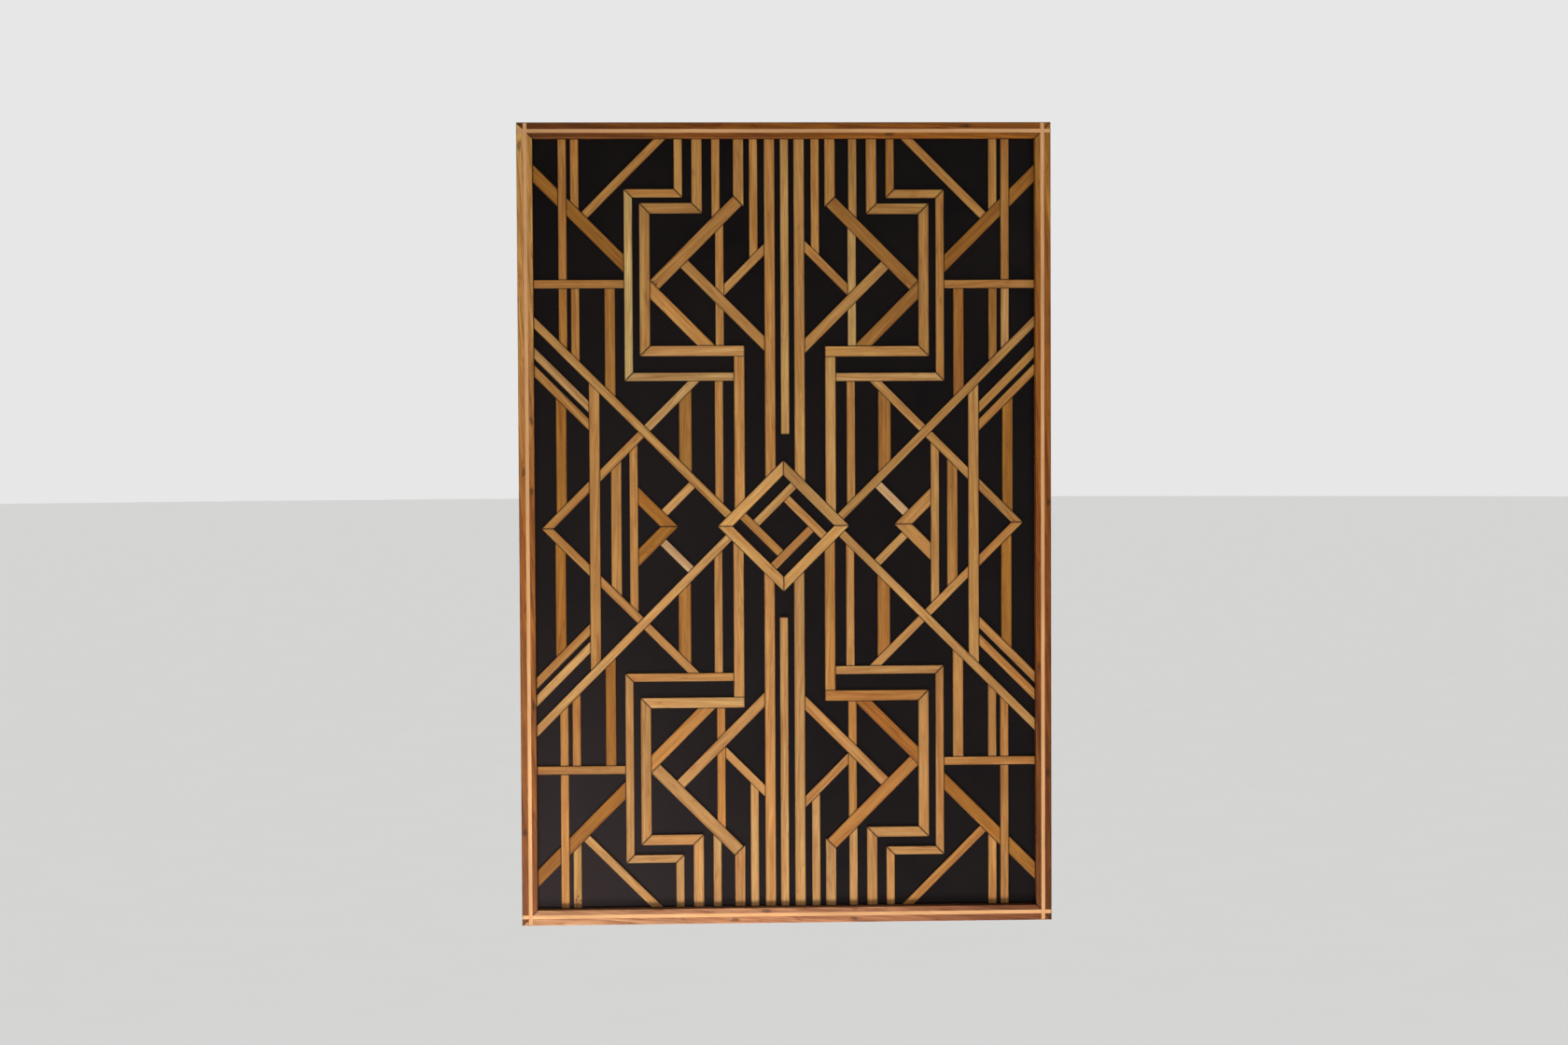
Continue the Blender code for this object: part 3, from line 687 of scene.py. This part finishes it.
def add_slat(data, lattice, slat):
    outline = slat_outline(lattice, slat)
    count = len(outline)
    nx, nz = slat.line.normal
    middle = [sum(point[axis] for point, _ in outline) / count for axis in (0, 1)]
    stain = slat_stain(slat, middle)
    face = SLAT_FACE_Y + rng.uniform(*FACE_SINK)
    tilt = (rng.uniform(-LEAN_ALONG, LEAN_ALONG), rng.uniform(-LEAN_ACROSS, LEAN_ACROSS))
    offset = [rng.uniform(0, GRAIN_SPREAD) for _ in range(3)]
    drift = rng.uniform(-GRAIN_DRIFT, GRAIN_DRIFT)
    mid_along = -nz * middle[0] + nx * middle[1]
    ends = sawn_ends(outline, (-nz, nx), mid_along)
    rings = [(0.0, SLAT_BACK_Y)]
    for turn in EASE_TURNS:
        rings.append((1 - math.cos(turn), face + SIDE_EASE * (1 - math.sin(turn))))
    first = len(data.verts)
    for number, (share, y) in enumerate(rings):
        for x, z in shrunk(outline, share):
            across = nx * x + nz * z - slat.line.distance
            along = -nz * x + nx * z
            lean = tilt[1] * across + tilt[0] * (along - mid_along)
            data.verts.append((x, y if number == 0 else y + lean, z))
            data.grain.append((along + offset[0], across + drift * along + offset[1], y + offset[2]))
            from_ends = [dot(normal, (x, z)) - distance for normal, distance in ends]
            data.place.append((across / slat.line.half, *from_ends))
            data.stain.append(stain)
    data.faces += swept_faces(first, len(rings), count)
    for group, role, aside, place_along in PIN_MARKS:
        if (group, role) == (slat.group, slat.role):
            add_mark(data, slat, aside, place_along, face)


def add_mark(data, slat, aside, place_along, face):
    """A small dark pin mark, as a thin disc that stands hardly proud of the slat's face."""
    nx, nz = slat.line.normal
    shift = slat.line.distance + aside
    middle = (nx * shift - nz * place_along, nz * shift + nx * place_along)
    low = len(data.verts)
    high = low + MARK_SIDES
    for y in (face + MARK_BURIED, face - MARK_PROUD):
        for step in range(MARK_SIDES):
            turn = 2 * math.pi * step / MARK_SIDES
            x, z = MARK_RADIUS * math.cos(turn), MARK_RADIUS * math.sin(turn)
            data.verts.append((middle[0] + x, y, middle[1] + z))
            data.grain.append((turn * MARK_RADIUS, y, 0.0))
            data.place.append((0.0, 1.0, 1.0))
            data.stain.append(MARK_STAIN)
    data.faces.append([high + step for step in range(MARK_SIDES)])
    for step in range(MARK_SIDES):
        following = (step + 1) % MARK_SIDES
        data.faces.append((low + step, low + following, high + following, high + step))


def add_lattice(material):
    lattice = lay_out()
    groups = {}
    for slat in lattice.slats:
        add_slat(groups.setdefault(slat.group, MeshData()), lattice, slat)
    for group, data in groups.items():
        piece = data.object(group + "_slats", material)
        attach(piece, "root")
        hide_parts(group)


# Rail colours along each rail, from the left or from the bottom, linear
RAIL_STAINS = {
    "left": ((0.0, (0.154, 0.047, 0.010)), (0.5, (0.236, 0.080, 0.012)), (0.75, (0.350, 0.168, 0.046)),
             (1.0, (0.425, 0.228, 0.062))),
    "right": ((0.0, (0.076, 0.021, 0.003)), (0.5, (0.162, 0.045, 0.003)), (0.75, (0.205, 0.068, 0.007)),
              (1.0, (0.262, 0.113, 0.018))),
    "top": ((0.0, (0.105, 0.031, 0.004)), (0.5, (0.175, 0.053, 0.003)), (1.0, (0.210, 0.068, 0.004))),
    "bottom": ((0.0, (0.350, 0.168, 0.076)), (0.5, (0.325, 0.140, 0.066)), (1.0, (0.110, 0.029, 0.006))),
}

# Painted light and shade on each rail from its inlay inwards, against its outer band: the bottom rail's
# inner band painted darker, the top and right rails' lighter
INNER_BAND_PAINTED_LIGHT_SHADE = {"left": 1.0, "right": 1.05, "top": 1.05, "bottom": 0.85}

# Linear colour of the inlays
INLAY_STAIN = (0.540, 0.290, 0.130)

# Dark knots and burls, as (place along the rail, distance in from its outer edge), in metres
RAIL_KNOTS = {
    "left": ((0.426, 0.003), (0.119, 0.0145), (0.060, 0.006), (0.038, 0.0145), (-0.203, 0.0145),
             (-0.345, 0.004)),
    "right": ((0.024, 0.003), (-0.165, 0.0140), (-0.284, 0.004)),
    "top": ((0.118, 0.0135), (0.204, 0.004)),
    "bottom": ((-0.059, 0.004), (-0.025, 0.0140), (0.075, 0.004)),
}
KNOT_REACH = 0.012

# How far each rail's grain runs off its length
RAIL_DRIFT = {"left": 0.07, "right": -0.06, "top": -0.05, "bottom": 0.08}


def along_rail(stops, share):
    for (low, low_colour), (high, high_colour) in zip(stops, stops[1:]):
        if share <= high:
            return mix(low_colour, high_colour, (share - low) / (high - low))
    return stops[-1][1]


def rail_profile(shrink=0.0):
    """A rail's section as (distance in from its outer edge, y), pulled in by shrink at the edges."""
    groove_low = INLAY_FROM_EDGE - INLAY_WIDTH / 2 - GROOVE_GAP
    groove_high = INLAY_FROM_EDGE + INLAY_WIDTH / 2 + GROOVE_GAP
    face, groove = FRAME_FACE_Y + shrink, FRAME_FACE_Y + INLAY_DEPTH + GROOVE_GAP
    outer, inner = shrink, FRAME_FACE - shrink
    points = [(outer, -shrink), (outer, face + RAIL_EASE)]
    for turn in EASE_TURNS[1:]:
        points.append((outer + RAIL_EASE * (1 - math.cos(turn)), face + RAIL_EASE * (1 - math.sin(turn))))
    points += [(groove_low, face), (groove_low, groove), (groove_high, groove), (groove_high, face)]
    for turn in EASE_TURNS:
        points.append((inner - RAIL_EASE * (1 - math.sin(turn)), face + RAIL_EASE * (1 - math.cos(turn))))
    points += [(inner, BOARD_FACE_Y - shrink), (FRAME_FACE - REBATE_WIDTH, BOARD_FACE_Y - shrink)]
    points.append((FRAME_FACE - REBATE_WIDTH, -shrink))
    return points


def rail_place(name, inward, along, y):
    if name in SIDES:
        return (SIDES[name] * (HALF_WIDTH - inward), y, along)
    return (along, y, LEVELS[name] * (HALF_HEIGHT - inward))


def rail_mesh(name):
    """One mitred rail: its section swept along it, each end cut at 45 degrees and slightly eased."""
    half_length = HALF_HEIGHT if name in SIDES else HALF_WIDTH
    steps = round(2 * half_length / RAIL_STEP)
    rings = [(-1.0, 0.0, RAIL_END_EASE), (-1.0, RAIL_END_EASE, 0.0)]
    rings += [(-1 + 2 * step / steps, 0.0, 0.0) for step in range(1, steps)]
    rings += [(1.0, RAIL_END_EASE, 0.0), (1.0, 0.0, RAIL_END_EASE)]
    verts = []
    for share, back_off, shrink in rings:
        for inward, y in rail_profile(shrink):
            end = half_length - inward - RAIL_MITRE_GAP - back_off
            verts.append(rail_place(name, inward, share * end, y))
    return solid("frame_rail_" + name, verts, swept_faces(0, len(rings), len(rail_profile())))


def solid(name, verts, faces):
    mesh = bpy.data.meshes.new(name)
    mesh.from_pydata(verts, [], faces)
    bm = bmesh.new()
    bm.from_mesh(mesh)
    bmesh.ops.recalc_face_normals(bm, faces=bm.faces[:])
    bm.to_mesh(mesh)
    bm.free()
    return mesh


def box(low, high):
    x, y, z = zip(low, high)
    verts = [(x[i], y[j], z[k]) for i in (0, 1) for j in (0, 1) for k in (0, 1)]
    faces = [(0, 1, 3, 2), (4, 6, 7, 5), (0, 4, 5, 1), (2, 3, 7, 6), (0, 2, 6, 4), (1, 5, 7, 3)]
    return verts, faces


def carved(mesh, boxes):
    """The mesh with boxes, given by their low and high corners, taken out of it."""
    body = add_object("body", mesh)
    cutters = bpy.data.collections.new("cutters")
    for low, high in boxes:
        cutters.objects.link(bpy.data.objects.new("cutter", solid("cutter", *box(low, high))))
    difference = body.modifiers.new("grooves", "BOOLEAN")
    difference.operation = "DIFFERENCE"
    difference.operand_type = "COLLECTION"
    difference.collection = cutters
    bpy.context.view_layer.update()
    made = bpy.data.meshes.new_from_object(body.evaluated_get(bpy.context.evaluated_depsgraph_get()))
    for old in [body, *cutters.objects]:
        bpy.data.objects.remove(old, do_unlink=True)
    bpy.data.collections.remove(cutters)
    return made


def inlay_corners(name, grow=0.0, stretch=0.0):
    """Low and high corners of an inlay strip, grown all round it and stretched out past its ends."""
    half, bottom = INLAY_WIDTH / 2 + grow, FRAME_FACE_Y + INLAY_DEPTH + grow
    top = FRAME_FACE_Y - stretch
    if name in SIDES:
        middle, end = SIDES[name] * (HALF_WIDTH - INLAY_FROM_EDGE), HALF_HEIGHT + stretch
        return (middle - half, top, -end), (middle + half, bottom, end)
    middle, end = LEVELS[name] * (HALF_HEIGHT - INLAY_FROM_EDGE), HALF_WIDTH + stretch
    return (-end, top, middle - half), (end, bottom, middle + half)


def paint(mesh, name, stain_of, seed, mitred):
    """Gives a rail's or an inlay's mesh its wood attributes, from where each vertex is, with painted light
    and shade on a rail's inner band.
    """
    places = np.empty(len(mesh.vertices) * 3, dtype=np.float32)
    mesh.vertices.foreach_get("co", places)
    x, y, z = places.reshape(-1, 3).T
    upright = name in SIDES
    along = z if upright else x
    half_length = HALF_HEIGHT if upright else HALF_WIDTH
    inward = HALF_WIDTH - SIDES[name] * x if upright else HALF_HEIGHT - LEVELS[name] * z
    offset = [seed * step for step in RAIL_GRAIN_STEPS]
    grain = np.stack([along + offset[0], inward + RAIL_DRIFT[name] * along + offset[1], y + offset[2]], 1)
    from_ends = [half_length + sign * along for sign in (1, -1)]
    if mitred:
        from_ends = [(end - inward) * DIAGONAL for end in from_ends]
    place = np.stack([np.zeros_like(along), *from_ends], 1)
    shares = (along + half_length) / (2 * half_length)
    stain = np.array([(*stain_of(share), 1.0) for share in shares])
    # Painted light and shade: a rail's inner band darkened or lightened against its outer band
    if mitred:
        stain[inward > INLAY_FROM_EDGE, :3] *= INNER_BAND_PAINTED_LIGHT_SHADE[name]
    knots = np.array(RAIL_KNOTS[name])
    nearest = np.abs(along[:, None] - knots[None, :, 0]).argmin(1)
    beside = along - knots[nearest, 0]
    knot = np.stack([beside, inward - knots[nearest, 1], (np.abs(beside) < KNOT_REACH) * 1.0], 1)
    set_wood(mesh, grain=grain, place=place, stain=stain, knot=knot)


def add_frame(rail_material, inlay_material):
    lap = FRAME_FACE_Y + INLAY_DEPTH / 2
    for seed, name in enumerate((*SIDES, *LEVELS)):
        crossing_names = LEVELS if name in SIDES else SIDES
        cross = [inlay_corners(other, GROOVE_GAP, CUTTER_REACH) for other in crossing_names]
        mesh = carved(rail_mesh(name), cross)
        paint(mesh, name, lambda share: along_rail(RAIL_STAINS[name], share), seed, mitred=True)
        add_wood_piece("frame_rail_" + name, mesh, rail_material)
        strip = eased(solid("strip", *box(*inlay_corners(name))), INLAY_EASE)
        laps = []
        for other in crossing_names:
            low, high = inlay_corners(other, GROOVE_GAP / 2, CUTTER_REACH)
            if name in SIDES:
                behind = (low[0], lap + GROOVE_GAP / 2, low[2])
                laps.append((behind, (high[0], high[1] + CUTTER_REACH, high[2])))
            else:
                laps.append((low, (high[0], lap, high[2])))
        mesh = carved(strip, laps)
        paint(mesh, name, lambda share: INLAY_STAIN, seed + len(RAIL_STAINS), mitred=False)
        add_wood_piece("frame_inlay_" + name, mesh, inlay_material)


def eased(mesh, width):
    bm = bmesh.new()
    bm.from_mesh(mesh)
    bmesh.ops.bevel(bm, geom=bm.edges[:], offset=width, segments=2, profile=0.5, affect="EDGES")
    bm.to_mesh(mesh)
    bm.free()
    return mesh


def add_wood_piece(node, mesh, material):
    mesh.materials.clear()
    mesh.materials.append(material)
    piece = finish_piece(node + "_wood", mesh)
    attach(piece, "root")
    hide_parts(node)


def add_board(face_material, back_material):
    """The lacquered board, its edges eased and its back left bare."""
    edge = REBATE_WIDTH - BOARD_GAP
    high = (OPENING_OUT + edge, 0.0, OPENING_UP + edge)
    low = (-high[0], BOARD_FACE_Y, -high[2])
    mesh = eased(solid("board", *box(low, high)), BOARD_EASE)
    mesh.materials.append(face_material)
    mesh.materials.append(back_material)
    for polygon in mesh.polygons:
        polygon.material_index = 1 if polygon.center.y > BOARD_FACE_Y / 2 else 0
    piece = finish_piece("back_board_panel", mesh)
    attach(piece, "root")
    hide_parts("back_board")


class Nodes:
    """Short ways to add and join the nodes of a material or of the world."""

    def __init__(self, owner, shader="Principled BSDF"):
        owner.use_nodes = True
        self.owner = owner
        self.tree = owner.node_tree
        self.shader = self.tree.nodes[shader]

    def add(self, kind, inputs=None, **settings):
        node = self.tree.nodes.new("ShaderNode" + kind)
        for setting, value in settings.items():
            setattr(node, setting, value)
        for socket, value in (inputs or {}).items():
            self.join(value, node.inputs[socket])
        return node

    def join(self, value, socket):
        if isinstance(value, bpy.types.Node):
            value = value.outputs[0]
        if isinstance(value, bpy.types.NodeSocket):
            self.tree.links.new(value, socket)
        else:
            socket.default_value = value

    def attribute(self, name, output):
        return self.add("Attribute", attribute_name=name).outputs[output]

    def noise(self, vector, scale, detail, roughness=0.5, distortion=0.0):
        """Noise at one scale for all axes, or at a scale for each axis."""
        if isinstance(scale, tuple):
            vector = self.add("Mapping", {"Vector": vector, "Scale": scale})
            scale = 1.0
        return self.add("TexNoise", {
            "Vector": vector, "Scale": scale, "Detail": detail,
            "Roughness": roughness, "Distortion": distortion,
        }).outputs["Fac"]

    def math(self, operation, a, b=0.0):
        return self.add("Math", {0: a, 1: b}, operation=operation)

    def product(self, *factors):
        result = factors[0]
        for factor in factors[1:]:
            result = self.math("MULTIPLY", result, factor)
        return result

    def range(self, value, low, high, to_low=0.0, to_high=1.0, smooth=False):
        return self.add("MapRange", {
            "Value": value, "From Min": low, "From Max": high, "To Min": to_low, "To Max": to_high,
        }, interpolation_type="SMOOTHSTEP" if smooth else "LINEAR")

    def swing(self, noise, low, high):
        """The noise spread from low to high: most of its values lie from 0.3 to 0.7."""
        return self.range(noise, 0.3, 0.7, low, high)

    def mix(self, share, a, b, blend="MIX"):
        """Mixes two colours, which the node takes at sockets 6 and 7 and gives at output 2."""
        node = self.add("Mix", data_type="RGBA", blend_type=blend, clamp_factor=True)
        for socket, value in ((0, share), (6, a), (7, b)):
            self.join(value, node.inputs[socket])
        return node.outputs[2]

    def times(self, colour, value):
        """The colour times a number."""
        node = self.add("VectorMath", {0: colour}, operation="SCALE")
        self.join(value, node.inputs["Scale"])
        return node

    def finish(self, colour, roughness, gloss, relief=None):
        """Sets the shader. The relief is its height, its strength and its depth in metres."""
        self.join(colour, self.shader.inputs["Base Color"])
        self.join(roughness, self.shader.inputs["Roughness"])
        self.shader.inputs["Specular IOR Level"].default_value = gloss
        if relief:
            height, strength, depth = relief
            bump = self.add("Bump", {"Height": height, "Strength": strength, "Distance": depth})
            self.join(bump, self.shader.inputs["Normal"])
        return self.owner


# Scales of the wood's noises, per metre: along the grain, across it and into the face
BAND_SCALE = (11.0, 260.0, 110.0)
STREAK_SCALE = (26.0, 760.0, 380.0)
FIBRE_SCALE = (70.0, 3200.0, 1600.0)
PATCH_SCALE = (9.0, 24.0, 24.0)
PORE_SCALE = (45.0, 1700.0, 800.0)
FLAME_SCALE = (24.0, 150.0, 70.0)
KNOT_SCALE = (160.0, 320.0, 320.0)

# Shares of the figure that the streaks and the burls take, and how far broad patches differ
STREAK_SHARE = 0.6
BURL_SHARE = 1.6
PATCH_SPREAD = 0.11
BURL_TINT = (0.52, 0.30, 0.14, 1)

# Change of red, green and blue in the dark and the light bands of the figure
DARK_BAND_SHIFT = (0.06, -0.10, -0.26)
LIGHT_BAND_SHIFT = (-0.03, 0.07, 0.16)

# Half size of a knot, where the stain of a sawn end starts and fades, and where painted shade starts to
# darken a slat's long edges
KNOT_ALONG = 0.0070
KNOT_ACROSS = 0.0026
END_STAIN_FROM = 0.0003
END_STAIN_TO = 0.0014
END_STAIN = 0.45
EDGE_SHADE_FROM = 0.76

# Gloss of each surface, and the colours of the board's two faces
WOOD_GLOSS = 0.18
LACQUER_GLOSS = 0.20
FIBREBOARD_GLOSS = 0.25
FLOOR_GLOSS = 0.1
LACQUER_TINT = (1.0, 0.80, 0.80, 1)
LACQUER_COLOURS = ((0.0012, 0.0010, 0.0014, 1), (0.0030, 0.0022, 0.0022, 1))
FIBREBOARD_COLOURS = ((0.150, 0.082, 0.038, 1), (0.300, 0.185, 0.095, 1))


def knot_heart(n, grain):
    """How dark a knot makes the wood: most at its middle, with a wavy rim."""
    knot = n.add("SeparateXYZ", {0: n.attribute("knot", "Vector")})
    wave = n.noise(grain, KNOT_SCALE, 2.0)
    beside = n.product(knot.outputs[0], 1 / KNOT_ALONG)
    aside = n.product(knot.outputs[1], 1 / KNOT_ACROSS)
    reach = n.math("SQRT", n.math("ADD", n.product(beside, beside), n.product(aside, aside)))
    reach = n.math("ADD", reach, n.swing(wave, -0.35, 0.35))
    return n.product(n.range(reach, 0.35, 1.15, 0.55, 0.0, smooth=True), knot.outputs[2])


# rim is how much painted shade darkens a slat's long edges
def wood_material(name, figure=0.24, hue=0.9, fibre=0.07, pore=0.22, rim=0.40, roughness=0.50, knots=False):
    """Varnished wood: soft long figure, fine fibres and pores along the grain, darker at sawn ends."""
    n = Nodes(bpy.data.materials.new(name))
    grain = n.attribute("grain", "Vector")
    stain = n.attribute("stain", "Color")
    place = n.add("SeparateXYZ", {0: n.attribute("place", "Vector")})
    bands = n.noise(grain, BAND_SCALE, 3.0, 0.55, 0.9)
    streaks = n.noise(grain, STREAK_SCALE, 3.0, 0.55, 0.5)
    fibres = n.noise(grain, FIBRE_SCALE, 2.0, 0.6)
    patch = n.noise(grain, PATCH_SCALE, 2.0)
    pores = n.noise(grain, PORE_SCALE, 1.0)
    flame = n.noise(grain, FLAME_SCALE, 2.0, 0.5, 1.6)
    burl = n.range(flame, 0.58, 0.74, 0.0, figure * BURL_SHARE, smooth=True)
    dark = n.range(pores, 0.62, 0.72, 0.0, pore, smooth=True)
    from_end = n.math("MINIMUM", place.outputs[1], place.outputs[2])
    tone = n.product(
        n.swing(bands, 1 - figure, 1 + figure),
        n.swing(streaks, 1 - figure * STREAK_SHARE, 1 + figure * STREAK_SHARE),
        n.range(fibres, 0.25, 0.75, 1 - fibre, 1 + fibre),
        n.swing(patch, 1 - PATCH_SPREAD, 1 + PATCH_SPREAD),
        n.math("SUBTRACT", 1.0, dark),
        # Painted shade along a slat's long edges
        n.range(n.math("ABSOLUTE", place.outputs[0]), EDGE_SHADE_FROM, 1.0, 1.0, 1 - rim),
        n.range(from_end, END_STAIN_FROM, END_STAIN_TO, END_STAIN, 1.0, smooth=True),
    )
    if knots:
        tone = n.product(tone, n.math("SUBTRACT", 1.0, knot_heart(n, grain)))
    dark_band, light_band = [
        (*(1 + part * hue for part in shift), 1) for shift in (DARK_BAND_SHIFT, LIGHT_BAND_SHIFT)
    ]
    warm = n.mix(n.range(bands, 0.32, 0.68), dark_band, light_band)
    colour = n.mix(1.0, stain, warm, "MULTIPLY")
    colour = n.mix(burl, colour, n.mix(1.0, colour, BURL_TINT, "MULTIPLY"))
    rough = n.swing(streaks, roughness - 0.05, roughness + 0.07)
    height = n.math("ADD", n.product(fibres, 0.5), n.product(dark, -1.0))
    return n.finish(n.times(colour, tone), rough, WOOD_GLOSS, (height, 0.30, 0.00010))


def lacquer_material():
    """Black satin lacquer with faint cloudy wiping marks."""
    n = Nodes(bpy.data.materials.new("black satin lacquer"))
    place = n.add("TexCoord").outputs["Object"]
    cloud = n.noise(place, 9.0, 5.0, 0.6, 0.5)
    fine = n.noise(place, 900.0, 2.0, 0.6)
    colour = n.mix(n.range(cloud, 0.35, 0.75), *LACQUER_COLOURS)
    n.shader.inputs["Specular Tint"].default_value = LACQUER_TINT
    return n.finish(colour, n.swing(cloud, 0.25, 0.33), LACQUER_GLOSS, (fine, 0.12, 0.00008))


def fibreboard_material():
    """Bare brown fibreboard: short matted fibres."""
    n = Nodes(bpy.data.materials.new("bare fibreboard"))
    place = n.add("TexCoord").outputs["Object"]
    matted = n.noise(place, 420.0, 6.0, 0.7, 1.5)
    broad = n.noise(place, 14.0, 3.0)
    colour = n.mix(n.range(matted, 0.3, 0.7), *FIBREBOARD_COLOURS)
    colour = n.times(colour, n.swing(broad, 0.88, 1.1))
    return n.finish(colour, n.swing(matted, 0.75, 0.9), FIBREBOARD_GLOSS, (matted, 0.5, 0.0003))


def add_floor():
    """A plain pale floor, well below the panel."""
    bm = bmesh.new()
    bmesh.ops.create_circle(bm, cap_ends=True, radius=FLOOR_RADIUS, segments=96)
    mesh = bpy.data.meshes.new("floor")
    bm.to_mesh(mesh)
    bm.free()
    n = Nodes(bpy.data.materials.new("pale floor"))
    speckle = n.noise(n.add("TexCoord").outputs["Object"], 3.0, 3.0)
    mesh.materials.append(n.finish(n.mix(speckle, *FLOOR_COLOURS), 0.9, FLOOR_GLOSS))
    floor = add_object("floor", mesh)
    floor.location = (0, 0, FLOOR_Z)


def add_light(name, place, target, size, power, colour):
    data = bpy.data.lights.new(name, "AREA")
    data.shape = "RECTANGLE"
    data.size, data.size_y = size
    data.energy = power
    data.color = colour
    light = add_object(name, data)
    light.location = place
    light.rotation_euler = (Vector(target) - Vector(place)).to_track_quat("-Z", "Y").to_euler()


def add_world():
    """A pale backdrop behind the panel and a dimmer room in front of it, by direction alone."""
    world = bpy.data.worlds.new("studio")
    n = Nodes(world, "Background")
    depth = n.add("SeparateXYZ", {0: n.add("TexCoord").outputs["Generated"]}).outputs["Y"]
    level = n.range(depth, BACKDROP_FROM, BACKDROP_TO, ROOM_LIGHT, BACKDROP_LIGHT, smooth=True)
    n.join(level, n.shader.inputs["Strength"])
    n.shader.inputs["Color"].default_value = (1, 1, 1, 1)
    bpy.context.scene.world = world


def add_lights():
    for lamp in LAMPS:
        add_light(*lamp)
    sun = bpy.data.lights.new("overhead", "SUN")
    sun.energy = OVERHEAD_LIGHT
    sun.angle = math.radians(OVERHEAD_SPREAD)
    overhead = add_object("overhead", sun)
    overhead.rotation_euler = (math.radians(OVERHEAD_LEAN), 0, 0)


def add_camera():
    yaw, pitch, roll = (math.radians(angle) for angle in (CAMERA_YAW, CAMERA_PITCH, CAMERA_ROLL))
    forward = Vector((math.sin(yaw) * math.cos(pitch), math.cos(yaw) * math.cos(pitch), math.sin(pitch)))
    level = Vector((math.cos(yaw), -math.sin(yaw), 0))
    up = level.cross(forward)
    right = level * math.cos(roll) + up * math.sin(roll)
    camera = add_object("camera", bpy.data.cameras.new("camera"))
    camera.data.lens = CAMERA_LENS
    camera.data.sensor_width = SENSOR_WIDTH
    turn = Matrix((right, right.cross(forward), -forward)).transposed()
    camera.matrix_world = Matrix.Translation(CAMERA_PLACE) @ turn.to_4x4()
    bpy.context.scene.camera = camera


def main():
    slat_wood = wood_material("slat wood")
    rail_wood = wood_material(
        "frame wood", figure=0.40, hue=1.0, fibre=0.10, pore=0.3, rim=0.0, roughness=0.46, knots=True
    )
    inlay_wood = wood_material("inlay wood", figure=0.10, hue=0.4, fibre=0.06, pore=0.15, rim=0.0)
    add_board(lacquer_material(), fibreboard_material())
    add_frame(rail_wood, inlay_wood)
    add_lattice(slat_wood)
    add_floor()
    add_world()
    add_lights()
    add_camera()
    bpy.context.scene.view_settings.view_transform = "Standard"


main()
